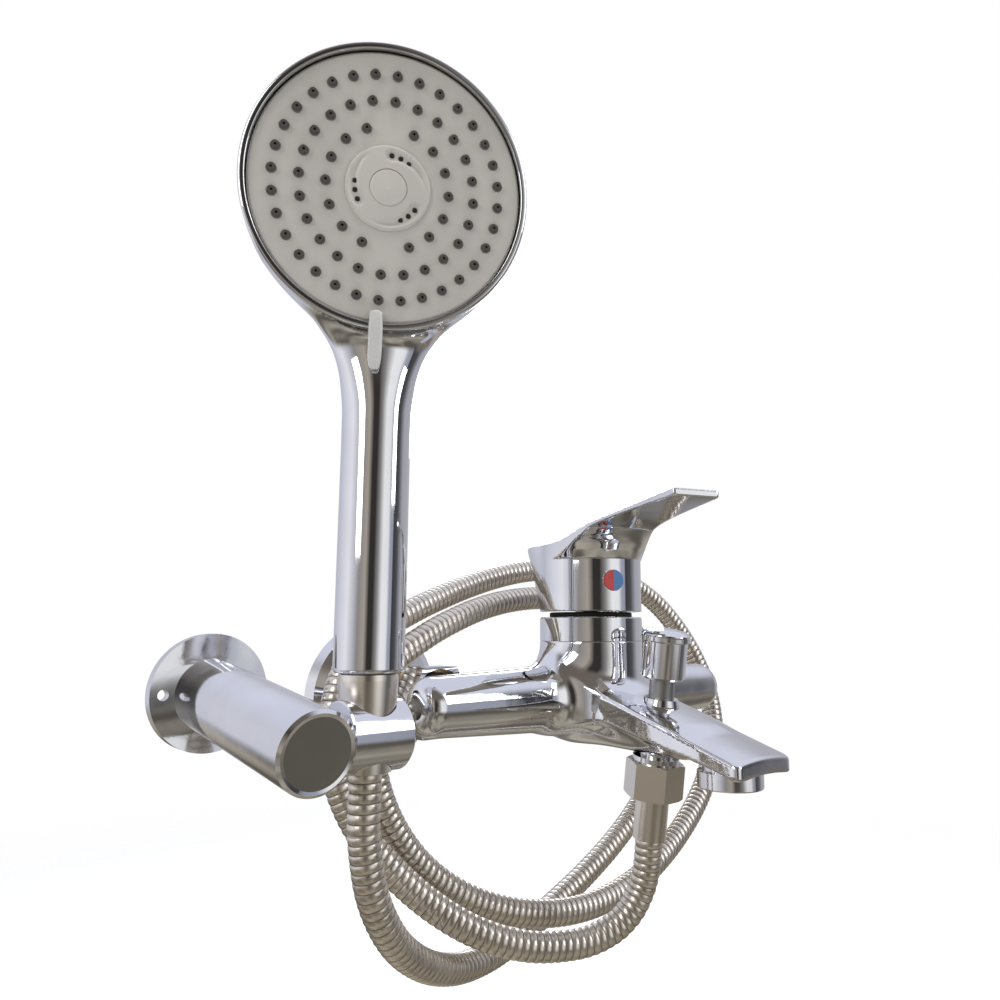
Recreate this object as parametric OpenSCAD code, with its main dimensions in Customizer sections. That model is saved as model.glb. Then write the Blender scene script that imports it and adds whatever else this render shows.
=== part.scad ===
// Wall-mounted single-lever bath mixer with hand shower, ribbed hose and wall bracket.
// Millimetres. Origin on the wall, midway between the two inlets. X runs along the wall, -Y into the
// room, Z up.

/* [Mixer body] */
// Distance between the two wall inlets
inlet_centres = 150; // [120:1:160]
// Wall to the axis of the tower
tower_reach = 75; // [70:1:90]
// Wall to the axis of the arms
arm_reach = 70; // [66:1:80]
// Half of the length over the two arms
arm_half = 100; // [96:1:120]
// Radius of the arms at the tower
arm_root_r = 15.5; // [14:0.5:20]
// Radius of the arms at their ends
arm_end_r = 12.5; // [11.5:0.5:16]
// Radius of the tower
tower_r = 24.5; // [24:0.5:30]
// Height of the seam between the tower and its ring
seam_z = 26; // [24:1:32]
// Radius of the fillet at the foot of the tower
foot_r = 10; // [4:1:14]
// Width of the spout
spout_w = 39; // [34:1:48]
// Tower axis to the tip of the spout
spout_len = 92; // [88:1:130]
// Drop of the spout's top from its root to the tip
spout_drop = 17; // [10:1:22]
// Thickness of the spout's tip
tip_h = 5; // [4.5:0.5:12]
// Tower axis to the axis of the aerator
aerator_at = 75.5; // [70:0.5:100]

/* [Cartridge and lever] */
// Outside radius of the cartridge housing
cart_r = 20; // [17.5:0.5:22]
// Gap between the tower ring and the lever housing
lever_gap = 2.6; // [2:0.1:4]
// Height of the tower ring
ring_h = 11; // [9:0.5:14]
// Height of the lever housing
lever_h = 28; // [24:1:36]
// Tower axis to the tip of the blade
blade_len = 94; // [70:1:120]
// Width of the blade at its tip
blade_w = 21; // [18:1:34]
// Thickness of the blade
blade_t = 3; // [2.5:0.25:5]
// Rise of the blade above the lever housing
blade_rise = 13.4; // [10:0.2:24]
// Turn of the lever from straight ahead
lever_turn = -21; // [-45:1:45]
// Largest lift of the lever
lever_lift = 15; // [8:1:16]

/* [Diverter and outlets] */
// Tower axis to the diverter's axis where it meets the spout's top
diverter_at = 41; // [40:1:50]
// Lean of the diverter and of the shower outlet
diverter_lean = 8; // [0:1:12]
// Radius of the knob
knob_r = 9.7; // [8:0.1:12]
// Height of the knob's wide part
knob_h = 22; // [18:1:30]
// Radius of the diverter stem
stem_r = 5.6; // [4:0.1:7]
// Travel of the knob
knob_travel = 5; // [3:0.5:5]
// Radius of the aerator housing
aerator_r = 13.2; // [12:0.1:15]
// Across flats of the hose nut
hex_af = 22.5; // [22:0.5:28]
// Outside radius of the half-inch thread
thread_r = 10.3; // [9:0.1:11]

/* [Hose] */
// Outside radius of the hose
hose_r = 6; // [5:0.1:6.1]
// Radius of the hose's bore
hose_bore_r = 3.8; // [3:0.1:4.2]
// Number of ribs along the loops of the hose
loop_ribs = 170; // [60:1:180]
// Depth of the groove between two ribs
rib_depth = 0.7; // [0.3:0.1:1.2]

/* [Hand shower] */
// Radius of the head's rim
head_r = 53.5; // [48:0.5:62]
// Radius of the handle
grip_r = 13; // [13:0.5:17]
// Handle's foot to the centre of the face
face_height = 178.5; // [160:0.5:190]
// Handle's axis to the centre of the face
face_forward = 25; // [18:1:30]
// Tilt of the face below level
face_tilt = 10; // [0:1:25]
// Turn of the hand shower in its holder
shower_turn = -28; // [-60:1:60]
// Depth of the head
head_depth = 26; // [22:1:34]
// Radius of the outer ring of nozzles
outer_ring_r = 42; // [38:0.5:46]
// Radius of the middle ring of nozzles
middle_ring_r = 32.4; // [28:0.1:36]
// Radius of the inner ring of nozzles
inner_ring_r = 22.8; // [20:0.1:26]
// Radius of the centre insert
insert_r = 16; // [12:0.5:18]
// Radius of the centre button
button_r = 7; // [6:0.5:8]
// Nozzles in the outer ring
outer_nozzles = 32; // [20:1:36]
// Nozzles in the middle ring
middle_nozzles = 24; // [16:1:28]
// Places in the inner ring, two of them left empty
inner_places = 16; // [10:2:18]

/* [Wall bracket] */
// Sideways place of the bracket's arm
bracket_x = -154.5; // [-220:0.5:-154]
// Radius of the bracket's arm
post_r = 14.5; // [14:0.5:20]
// Wall to the front of the bracket's arm
post_reach = 97; // [90:1:130]
// Fall of the arm from the wall to its front
post_fall = 8.5; // [0:0.5:12]
// Radius of the swivel barrel
barrel_r = 13; // [13:0.5:16]
// Length of the swivel barrel
barrel_len = 25.5; // [25.5:0.5:40]

/* [Hidden] */
$fn = 64;

// A seated gap, a running gap and a moving gap.
seat = 0.05;
run = 0.06;
free = 0.4;
eps = 0.01;
far = 200;
ty = -tower_reach;
ay = -arm_reach;
ring_top = seam_z + ring_h;
lever_z = ring_top + lever_gap;
lever_top = lever_z + lever_h;
pivot_z = 30;

// Turns a profile in (radius, height) into a solid about Z.
module turned(points) {
  rotate_extrude($fn = 72)
    polygon(points);
}

// A plain ring or tube about Z.
module tube(outer, inner, low, high) {
  difference() {
    translate([0, 0, low])
      cylinder(r = outer, h = high - low);
    translate([0, 0, low - 1])
      cylinder(r = inner, h = high - low + 2);
  }
}

// Places children on the diverter's axis, with Z along it and zero at the spout's top.
module on_diverter() {
  translate([0, ty - diverter_at, spout_top(diverter_at)])
    rotate([diverter_lean, 0, 0])
      children();
}

// Height of the spout's top at a distance in front of the tower axis.
function spout_top(at) = -1.5 - spout_drop * (at - 40) / (spout_len - 40);

// The arms as a spindle along X: they taper from the tower to rounded ends.
arm_profile = concat([[0, -arm_half]],
  [for (a = [-80:10:0]) [arm_end_r * cos(a), -arm_half + arm_end_r + arm_end_r * sin(a)]],
  [[arm_root_r, -tower_r * 0.6], [arm_root_r, tower_r * 0.6]],
  [for (a = [0:10:80]) [arm_end_r * cos(a), arm_half - arm_end_r + arm_end_r * sin(a)]],
  [[0, arm_half]]);

// The tower with the concave fillet at its foot.
foot_z = arm_root_r * 0.55;
tower_profile = concat([[0, -arm_root_r + 2], [tower_r - 4, -arm_root_r + 2], [tower_r + foot_r * 0.4, 0]],
  [for (a = [0:10:90]) [tower_r + foot_r * (1 - sin(a)), foot_z + foot_r * (1 - cos(a))]],
  [[tower_r, seam_z], [0, seam_z]]);

// The spout seen from the side: distance in front of the tower axis, and height.
belly = [[aerator_at + aerator_r + 0.5, spout_top(spout_len) - tip_h - 1.5],
  [aerator_at - aerator_r - 1, spout_top(spout_len) - tip_h - 1.5], [56, -22.5], [50, -20.5], [30,
    -20.5], [18, -20],
  [8, -16]];
spout_side = concat([[6, 6], [26, 6], [34, 1.5], [40, spout_top(40)], [spout_len - 3,
  spout_top(spout_len - 3)],
  [spout_len, spout_top(spout_len) - 1.5], [spout_len, spout_top(spout_len) - tip_h]], belly);

// Bores of the body, all drilled: cartridge chamber, ports, waterways, outlet, diverter and aerator.
chamber_z = 7;
aerator_z = spout_top(spout_len) - tip_h - 1.5;
nipple_z = -24;
counter_r = 22.2;
module body_bores() {
  translate([0, ty, chamber_z])
    cylinder(r = cart_r + seat, h = far);
  translate([0, ty, seam_z - 6])
    cylinder(r = counter_r, h = far);
  for (s = [-1, 1]) {
    translate([s * inlet_centres / 2, ay, 0])
      rotate([-90, 0, 0])
        cylinder(r = 8, h = far);
    translate([s * inlet_centres / 2, ay, 0])
      rotate([0, -s * 90, 0])
        cylinder(r = 5, h = inlet_centres / 2 - 8);
    translate([s * 10, ty + 5, -4])
      cylinder(r = 3.2, h = 20);
  }
  translate([0, ty - 11, -8])
    cylinder(r = 3.6, h = 20);
  translate([0, ty - 8, -8])
    rotate([90 + 9, 0, 0])
      cylinder(r = 4.2, h = aerator_at - 5);
  translate([0, ty - aerator_at, aerator_z - 1])
    cylinder(r = aerator_r - 1.9, h = 7.5);
  on_diverter()
    translate([0, 0, -60])
      cylinder(r = 7.2, h = 100);
  on_diverter()
    translate([0, 0, -4])
      cylinder(r = 8.5, h = 40);
}

module mixer_body() {
  color("silver")
    difference() {
      union() {
        translate([0, ay, 0])
          rotate([0, 90, 0])
            turned(arm_profile);
        translate([0, ty, 0])
          turned(tower_profile);
        translate([spout_w / 2, ty, 0])
          rotate([90, 0, -90])
            linear_extrude(height = spout_w)
              polygon(spout_side);
        for (s = [-1, 1])
          translate([s * inlet_centres / 2, ay, 0])
            rotate([-90, 0, 0])
              cylinder(r = 13, h = nut_back - 2);
        translate([0, ty - aerator_at, aerator_z])
          cylinder(r = aerator_r, h = 6);
      }
      body_bores();
    }
}

// Wall unions: the arm's short male end, the nut over it, the stepped tail to the wall thread.
nut_back = 18;
nut_len = 13;
union_r = 12.6;
module wall_union(s) {
  color("goldenrod")
    translate([s * inlet_centres / 2, 0, 0])
      rotate([-90, 0, 0])
        turned([[7, -arm_reach + nut_back + 2], [14.2, -arm_reach + nut_back + 2], [14.2,
          -arm_reach + nut_back + 5],
          [union_r, -arm_reach + nut_back + 5], [union_r, 0], [thread_r, 0], [thread_r, 16], [7, 16]]);
}

module left_union() {
  wall_union(-1);
}

module right_union() {
  wall_union(1);
}

module union_nuts() {
  color("silver")
    for (s = [-1, 1])
      translate([s * inlet_centres / 2, ay, 0])
        rotate([-90, 0, 0])
          difference() {
            translate([0, 0, nut_back - 3.6])
              cylinder(r = 17.4, h = nut_len, $fn = 6);
            translate([0, 0, nut_back - 8])
              cylinder(r = 14.3, h = 13);
            cylinder(r = union_r + seat, h = far);
          }
}

module escutcheons() {
  color("silver")
    for (s = [-1, 1])
      translate([s * inlet_centres / 2, 0, 0])
        rotate([90, 0, 0])
          turned([[union_r + seat, 9], [union_r + seat, 15], [18, 15], [27, 11], [33, 5], [35, 0], [32.5,
            0], [30.5, 4],
            [25.5, 9]]);
}

module filter_washers() {
  color("dimgray")
    for (s = [-1, 1])
      translate([s * inlet_centres / 2, ay, 0])
        rotate([-90, 0, 0])
          tube(12.8, 6, nut_back - 2 + eps, nut_back + 2 - eps);
}

// Cartridge: housing, discs, rotor and stem on the tower's axis.
disc_z = chamber_z + 4;
disc_t = 3;
slide_z = disc_z + disc_t;
slide_t = 4;
neck_r = 14.5;
rotor_r = 11;
module cartridge_housing() {
  color("white")
    translate([0, ty, 0])
      turned([[17 + seat, chamber_z], [cart_r, chamber_z], [cart_r, seam_z - 6], [neck_r, seam_z - 6],
        [neck_r, ring_top - 2], [9, ring_top - 2], [9, ring_top - 4], [rotor_r, ring_top - 4],
        [rotor_r, seam_z - 6 - 1.2], [17 + seat, seam_z - 6 - 1.2]]);
}

module cartridge_seal() {
  color("black")
    translate([0, ty, 0])
      difference() {
        translate([0, 0, chamber_z])
          cylinder(r = 16.8, h = disc_z - chamber_z);
        for (s = [-1, 1])
          translate([s * 10, 5, 0])
            cylinder(r = 3.4, h = far);
        translate([0, -11, 0])
          cylinder(r = 3.6, h = far);
      }
}

module fixed_disc() {
  color("ivory")
    translate([0, ty, 0])
      difference() {
        translate([0, 0, disc_z])
          cylinder(r = 17, h = disc_t);
        for (s = [-1, 1])
          translate([s * 10, 5, 0])
            cylinder(r = 3.2, h = far);
        translate([0, -11, 0])
          cylinder(r = 3.4, h = far);
      }
}

tip_r = 2.6;
tip_z = slide_z + free + 2.6;
module moving_disc() {
  color("ivory")
    translate([0, ty, 0])
      rotate([0, 0, lever_turn])
        difference() {
          translate([0, 0, slide_z + free / 4])
            cylinder(r = 12.6, h = slide_t);
          translate([-tip_r - 0.1, -tip_r - 0.1, slide_z + free])
            cube([2 * tip_r + 0.2, 2 * tip_r + 0.2, far]);
        }
}

// The rotor turns in the neck. A slot lets the stem swing on its pin.
module cartridge_rotor() {
  color("lightgray")
    translate([0, ty, 0])
      rotate([0, 0, lever_turn])
        difference() {
          translate([0, 0, slide_z + slide_t + 0.6])
            cylinder(r = rotor_r - run, h = ring_top - 4.4 - slide_z - slide_t - 0.6);
          translate([-4.3, -8.5, 0])
            cube([8.6, 17, far]);
          translate([-far / 2, 0, pivot_z])
            rotate([0, 90, 0])
              cylinder(r = 1.5 + run, h = far);
        }
}

stem_top = lever_z + 19;
module cartridge_stem() {
  color("white")
    translate([0, ty, 0])
      rotate([0, 0, lever_turn]) {
        translate([0, 0, slide_z + slide_t + 1])
          cylinder(r = 3.6, h = stem_top - slide_z - slide_t - 1);
        translate([0, 0, tip_z])
          cylinder(r = 1.9, h = 6);
        translate([0, 0, tip_z])
          sphere(r = tip_r - 0.2);
        translate([-9, 0, pivot_z])
          rotate([0, 90, 0])
            cylinder(r = 1.5, h = 18);
      }
}

module retaining_nut() {
  color("goldenrod")
    translate([0, ty, 0])
      tube(counter_r, neck_r + seat, seam_z - 6, seam_z + 3);
}

module tower_ring() {
  color("silver")
    translate([0, ty, 0])
      turned([[counter_r + seat, seam_z], [tower_r, seam_z], [tower_r, ring_top - 0.6], [tower_r - 0.6,
        ring_top],
        [16, ring_top], [16, ring_top - 1.8], [counter_r + seat, ring_top - 1.8]]);
}

// The lever seen from the side: distance in front of its axis, and height over the housing's foot.
cap_h = lever_h + 4;
tip_top = cap_h + blade_rise;
blade_side = [[-tower_r - 6, cap_h - 3], [-tower_r - 6, cap_h], [6, cap_h], [14, cap_h + 1], [21,
  cap_h + 3], [27, cap_h + 5],
  [34, cap_h + 7], [60, cap_h + 7 + (blade_rise - 7) * 0.46], [blade_len - 1, tip_top], [blade_len,
    tip_top - 0.6],
  [blade_len, tip_top - blade_t + 0.5], [blade_len - 1, tip_top - blade_t], [52, cap_h + 7], [39,
    cap_h + 5.4], [32, cap_h + 3.2],
  [28, cap_h], [25.6, cap_h - 3], [tower_r - 0.2, cap_h - 7], [0, cap_h - 8], [-tower_r + 2, cap_h - 10]];
module lever_handle() {
  color("silver")
    translate([0, ty, lever_z])
      rotate([0, 0, lever_turn])
        difference() {
          union() {
            cylinder(r = tower_r, h = cap_h - 3);
            intersection() {
              turned([[0, 1], [tower_r, 1], [tower_r + back_out, cap_h - 2], [tower_r + back_out - 1,
                cap_h], [0, cap_h]]);
              translate([-far, -1, 0])
                cube([2 * far, far, far]);
            }
            intersection() {
              translate([tower_r, 0, 0])
                rotate([90, 0, -90])
                  linear_extrude(height = 2 * tower_r)
                    polygon(blade_side);
              linear_extrude(height = far)
                polygon(blade_plan);
            }
          }
          difference() {
            translate([0, 0, -1])
              cylinder(r = tower_r - 3, h = lever_h - 5);
            cylinder(r = 7.5, h = far);
          }
          translate([0, 0, -1])
            cylinder(r = 7.6, h = 6);
          translate([0, 0, -1])
            cylinder(r = 3.6, h = stem_top - lever_z + 1);
          translate([0, 0, screw_z])
            rotate([90, 0, 0])
              cylinder(r = 2.5, h = far);
          translate([0, -tower_r + 1.4, screw_z])
            rotate([90, 0, 0])
              cylinder(r = 4.9, h = far);
          translate([-far / 2, 7, 0])
            rotate([lever_lift + 1, 0, 0])
              translate([0, 0, -40])
                cube([far, far, 40]);
        }
}
screw_z = lever_h / 2;
back_out = 6;
// The lever seen from above.
blade_plan = [[-blade_w / 2, -blade_len + 2], [-blade_w / 2 + 2, -blade_len], [blade_w / 2 - 2, -blade_len],
  [blade_w / 2, -blade_len + 2], [blade_w / 2 + 3, -60], [tower_r - 8, -34], [tower_r - 5, -22],
    [tower_r - 1, -8],
  [tower_r - 1, 4], [-tower_r + 1, 4], [-tower_r + 1, -8], [-tower_r + 5, -22], [-tower_r + 8, -34],
    [-blade_w / 2 - 3, -60]];

module lever_screw() {
  color("dimgray")
    translate([0, ty, lever_z])
      rotate([0, 0, lever_turn])
        translate([0, -3.6, screw_z])
          rotate([90, 0, 0])
            difference() {
              cylinder(r = 2.5, h = 9);
              translate([0, 0, 6])
                cylinder(r = 1.45, h = far, $fn = 6);
            }
}

module indicator_cap() {
  color("red")
    translate([0, ty, lever_z])
      rotate([0, 0, lever_turn])
        translate([0, -tower_r + 1.4, screw_z])
          rotate([90, 0, 0])
            cylinder(r = 4.85, h = 1.7);
}

// Diverter: bush in the spout's top, stem with two valve discs, knob on the stem.
module diverter_bush() {
  color("silver")
    on_diverter()
      turned([[stem_r + run, -3.9], [8.4, -3.9], [8.4, 0.8], [7.6, 3.4], [stem_r + run, 3.4]]);
}

knob_z = 12;
module diverter_stem() {
  color("goldenrod")
    on_diverter()
      turned([[0, -15.4], [5, -15.4], [5, -13.6], [2.6, -13.6], [2.6, -10.8], [5, -10.8], [5, -9.6],
        [stem_r, -9],
        [stem_r, knob_z], [4, knob_z], [4, knob_z + 13], [0, knob_z + 13]]);
}

module diverter_seals() {
  color("black")
    on_diverter()
      tube(6.6, 2.6 + seat, -13.5, -10.9);
}

module diverter_knob() {
  color("silver")
    on_diverter()
      turned(concat([[4 + seat, knob_z], [knob_r - 0.6, knob_z], [knob_r, knob_z + 0.8], [knob_r,
        knob_z + knob_h - 6],
        [knob_r + 1.3, knob_z + knob_h - 5.4], [knob_r + 1.3, knob_z + knob_h - 3.6], [knob_r + 0.6,
          knob_z + knob_h - 3.2],
        [knob_r + 1.1, knob_z + knob_h - 2.6]],
        [for (a = [20:14:90]) [(knob_r + 1) * cos(a), knob_z + knob_h - 3 + 3 * sin(a)]],
        [[0, knob_z + 13.05], [4 + seat, knob_z + 13.05]]));
}

// Aerator: housing screwed on under the tip, with an insert and a seal.
module aerator_housing() {
  color("silver")
    translate([0, ty - aerator_at, aerator_z])
      turned([[aerator_r - 3, -6.5], [aerator_r - 0.4, -6.5], [aerator_r, -6], [aerator_r, -0.05],
        [aerator_r - 2, -0.05],
        [aerator_r - 2, 4], [aerator_r - 3, 4]]);
}

module aerator_insert() {
  color("lightgray")
    translate([0, ty - aerator_at, aerator_z])
      difference() {
        translate([0, 0, -5.7])
          cylinder(r = aerator_r - 3 - seat, h = 7);
        for (ring = [1:2])
          for (k = [0:6 * ring - 1])
            rotate([0, 0, k * 60 / ring])
              translate([ring * 3.7, 0, -20])
                cylinder(r = 0.9, h = 40, $fn = 24);
      }
}

module aerator_seal() {
  color("black")
    translate([0, ty - aerator_at, aerator_z])
      tube(aerator_r - 2.1, 6.5, 4.02, 6.4);
}

// Shower outlet under the spout, with the hose's nut, washer and ferrule on the same leaning axis.
module outlet_nipple() {
  color("goldenrod")
    on_diverter()
      turned([[5.4, -30], [thread_r - 0.2, -30], [thread_r - 0.2, -21.6], [7.2 - seat, -21.6],
        [7.2 - seat, -16], [5.4, -16]]);
}

module hose_nut() {
  color("silver")
    on_diverter()
      difference() {
        intersection() {
          translate([0, 0, -39])
            cylinder(r = hex_af / 2 / cos(30), h = 15, $fn = 6);
          turned([[0, -39], [hex_af / 2 + 0.6, -39], [hex_af / 2 + 3, -37.6], [hex_af / 2 + 3, -25.4],
            [hex_af / 2 + 0.6, -24], [0, -24]]);
        }
        translate([0, 0, -35])
          cylinder(r = thread_r - 0.2 + seat, h = 30);
        translate([0, 0, -60])
          cylinder(r = 7.3, h = 60);
      }
}

module hose_washer() {
  color("black")
    on_diverter()
      tube(thread_r - 0.5, 5, -32.6, -30.02);
}

ferrule_end = -57;
module hose_ferrule() {
  color("silver")
    on_diverter()
      turned([[hose_bore_r, ferrule_end], [7.2, ferrule_end], [7.2, -34.9], [thread_r - 0.7, -34.9], [thread_r - 0.7, -32.65],
        [hose_bore_r, -32.65]]);
}

// Route of the hose's centre, by hand: from the ferrule round the two inlets twice, then up to the holder.
foot = [0, ty - diverter_at, spout_top(diverter_at)];
down = [0, -sin(diverter_lean) * -1, -cos(diverter_lean)];
hose_start = foot + down * -ferrule_end;
loop_points = [[-1.5, -103.5, -81.5], [-6.5, -100.5, -90], [-15, -96.5, -96], [-27.9, -90.7, -99.1],
  [-48.6, -82.6, -97], [-67.4, -73.1, -89.7], [-83.1, -62.1, -78.3], [-96.6, -52.1, -63.6],
  [-108.1, -44.1, -46.3], [-115.1, -38.8, -25.8], [-115.1, -35.6, -3.8], [-106.6, -32.2, 16.6],
  [-89.4, -28.6, 30.7], [-69.2, -24.5, 39.8], [-48.6, -20, 47.1], [-27.6, -15.9, 53.6],
  [-6.1, -13.5, 59.3], [15.8, -12, 63.4], [38, -10.9, 65], [60.4, -10.5, 65], [82.6, -11.6, 63.8],
  [104, -14.7, 58.5], [121.6, -20.7, 46.4], [133.6, -28.4, 29.2], [139.9, -36.6, 9.5],
  [140.3, -44.5, -11.3], [133.6, -51.1, -31.5], [120.8, -55.9, -49], [104.2, -59.4, -63.5],
  [85.4, -62, -75.3], [65.3, -64.3, -84.7], [44.2, -66.1, -91.7], [22.3, -66.9, -95.9], [0, -66.2, -97.1],
  [-22.1, -63.5, -95], [-43.2, -59.1, -89.5], [-62.7, -53.6, -80.1], [-79.2, -48, -66.2],
  [-91.1, -43.2, -48], [-97.5, -39.6, -27], [-97.7, -37, -4.6], [-87.6, -35.4, 15.7],
  [-68.8, -33.9, 27.6], [-48, -31.2, 36.2], [-26.8, -28.2, 42.6], [-5, -26.1, 46.6], [17.3, -25, 48.2],
  [39.6, -24.8, 47.5], [61.6, -25.2, 43.7], [82.2, -26.2, 35.3], [99, -27.8, 20.9], [108.9, -29.7, 1.1],
  [110.8, -32.2, -20.9], [102.3, -35.3, -41.1], [87.2, -38, -57.3], [69.6, -39.8, -70.9],
  [50.4, -41, -82.3], [30.2, -42.2, -91.7], [9.2, -44.3, -99.1], [-12.1, -47.9, -104.5],
  [-33.6, -53.2, -107.7]];
riser_points = [[-55, -59.5, -107.5], [-75.7, -66.5, -103.2], [-95, -73.3, -94.3], [-111.7, -79, -80.6],
  [-123.1, -81.9, -61.9]];
holder_y = -82;
holder_z = -6.8;
shower_x = bracket_x + post_r + barrel_len / 2 - 0.25;
riser_top = -40;
cone_low = holder_z - barrel_r + 0.6;
loops = concat([hose_start, hose_start + down * 13.5], loop_points);
riser = concat(riser_points, [[shower_x, holder_y, riser_top], [shower_x, holder_y, riser_top + 13.5]]);
whole = concat(loops, riser);

// A smooth curve through a row of points, each stretch cut in equal steps.
function bend(p0, p1, p2, p3, t) = 0.5 * (2 * p1 + (p2 - p0) * t + (2 * p0 - 5 * p1 + 4 * p2 - p3) * t * t
  + (3 * p1 - p0 - 3 * p2 + p3) * t * t * t);
function at(row, i) = row[max(0, min(len(row) - 1, i))];
function curve(row, first, last, steps) = concat([for (i = [first:last - 1], k = [0:steps - 1])
  bend(at(row, i - 1), at(row, i), at(row, i + 1), at(row, i + 2), k / steps)], [at(row, last)]);
function unit(v) = v / norm(v);
function tail(row) = [for (i = [1:len(row) - 1]) row[i]];
function lengths(row) = [for (i = 0,
  s = 0; i < len(row); s = s + (i + 1 < len(row) ? norm(row[i + 1] - row[i]) : 0),
  i = i + 1) s];
// Points at equal distances along a row.
function spaced(row, n) = let (s = lengths(row), total = s[len(s) - 1])
  [for (k = [0:n]) let (d = min(total * k / n, total - 0.001), i = max([for (j = search_from(s, d)) j]))
    row[i] + (row[i + 1] - row[i]) * (d - s[i]) / (s[i + 1] - s[i])];
function search_from(s, d, low = 0, high = -1) = let (h = high < 0 ? len(s) - 1 : high)
  h - low <= 1 ? [low] : let (m = floor((low + h) / 2)) s[m] <= d ? search_from(s, d, m,
    h) : search_from(s, d, low, m);
// Directions along a row, with the two ends held to the pieces that they meet.
function headings(row, first, last) = [for (i = [0:len(row) - 1])
  i == 0 ? first : i == len(row) - 1 ? last : unit(row[i + 1] - row[i - 1])];
// A side direction carried along without twist.
function sides(ways) = [for (i = 0, n = unit(cross(ways[0], [1, 0.3, 0])); i < len(ways); i = i + 1,
  n = i < len(ways) ? unit(n - ways[i] * (n * ways[i])) : n) n];
function ring(c, way, n, r) = [for (k = [0:7]) c + r * (cos(k * 45) * n + sin(k * 45) * cross(way, n))];
function strip(a, b) = [for (k = [0:7]) each [[a + k, b + k, a + (k + 1) % 8], [a + (k + 1) % 8, b + k,
  b + (k + 1) % 8]]];

// A ribbed tube: each rib has a high ring and a low ring outside, and the bore has a ring at every
// second rib.
module ribbed(row, ribs, first, last) {
  mids = spaced(row, 2 * ribs);
  ways = headings(mids, first, last);
  norms = sides(ways);
  last_ring = 2 * ribs;
  inner_rings = [for (i = [0:4:last_ring - 1]) i];
  inner = concat(inner_rings, [last_ring]);
  outer_points = [for (i = [0:last_ring]) each ring(mids[i], ways[i], norms[i],
    i == 0 || i == last_ring || i % 2 == 0 ? hose_r : hose_r - rib_depth)];
  inner_points = [for (i = inner) each ring(mids[i], ways[i], norms[i], hose_bore_r)];
  base = len(outer_points);
  n_in = len(inner);
  faces = concat([for (i = [0:last_ring - 1]) each strip(8 * i, 8 * (i + 1))],
    [for (i = [0:n_in - 2]) each strip(base + 8 * (i + 1), base + 8 * i)],
    strip(base, 0), strip(8 * last_ring, base + 8 * (n_in - 1)));
  polyhedron(points = concat(outer_points, inner_points), faces = faces, convexity = 12);
}

loop_end = len(loops) - 1;
join_way = unit(whole[loop_end + 1] - whole[loop_end - 1]);
loop_curve = concat([loops[0]], curve(whole, 1, loop_end, 6));
riser_curve = concat([loops[loop_end] + join_way * 0.05], tail(curve(whole, loop_end, len(whole) - 2, 6)));
hose_line = spaced(concat(loop_curve, riser_curve), 240);
// The least distance between two stretches of the hose that aren't neighbours, less its width.
self_gap = min([for (i = [0:240], j = [i + 12:1:240]) norm(hose_line[i] - hose_line[j])]) - 2 * hose_r;
echo(hose_length = lengths(hose_line)[240], self_gap = self_gap);

module hose_loops() {
  color("gainsboro")
    ribbed(loop_curve, loop_ribs, down, join_way);
}

module hose_riser() {
  color("gainsboro")
    ribbed(riser_curve, 17, join_way, [0, 0, 1]);
}

module hose_top() {
  color("gainsboro")
    ribbed([[shower_x, holder_y, riser_top + 0.05], [shower_x, holder_y, cone_low - 0.03]], 4, [0, 0, 1],
      [0, 0, 1]);
}

// Cone nut on the hose's end, seated in the barrel's taper.
foot_top = 15.6;
cone_high = foot_top - 0.5;
cone_r_low = 9.2;
cone_r_high = 11;
function cone_r(z) = cone_r_low + (cone_r_high - cone_r_low) * (z - cone_low) / (cone_high - 2 - cone_low);
module cone_nut() {
  color("silver")
    translate([shower_x, holder_y, 0])
      turned([[hose_bore_r, cone_low], [cone_r_low, cone_low], [cone_r_high, cone_high - 2],
        [cone_r_high, cone_high],
        [nipple_r + run, cone_high], [nipple_r + run, cone_high - 12], [hose_bore_r, cone_high - 12]]);
}

nipple_r = 9.7;
module cone_washer() {
  color("black")
    translate([shower_x, holder_y, 0])
      tube(nipple_r - 0.4, 5, cone_high - 11.98, cone_high - 10.4);
}

// Hand shower. Its own frame has Z up the handle, and the face looks along -Y, tilted down.
module in_shower() {
  translate([shower_x, holder_y, foot_top])
    rotate([0, 0, shower_turn])
      children();
}

// Face frame: Z out of the face, zero at the rim.
module on_face() {
  in_shower()
    translate([0, -face_forward, face_height])
      rotate([90 + face_tilt, 0, 0])
        children();
}

// A flat slice of the neck: its height, half its width and its depth.
module neck_slice(z, half, deep) {
  translate([0, 5 - deep / 2 + (z - neck_low) * 0.1, z])
    cube([2 * half - deep, deep * 0.6, 1], center = true);
  for (s = [-1, 1])
    translate([s * (half - deep / 2), 5 - deep / 2 + (z - neck_low) * 0.1, z - 0.5])
      cylinder(r = deep / 2, h = 1, $fn = 32);
}

// A short length of the neck's waterway: how far in front of the handle's axis, its height and radius.
module neck_bore(ahead, z, r) {
  translate([0, -ahead, z])
    cylinder(r = r, h = 1, $fn = 32);
}

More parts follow.
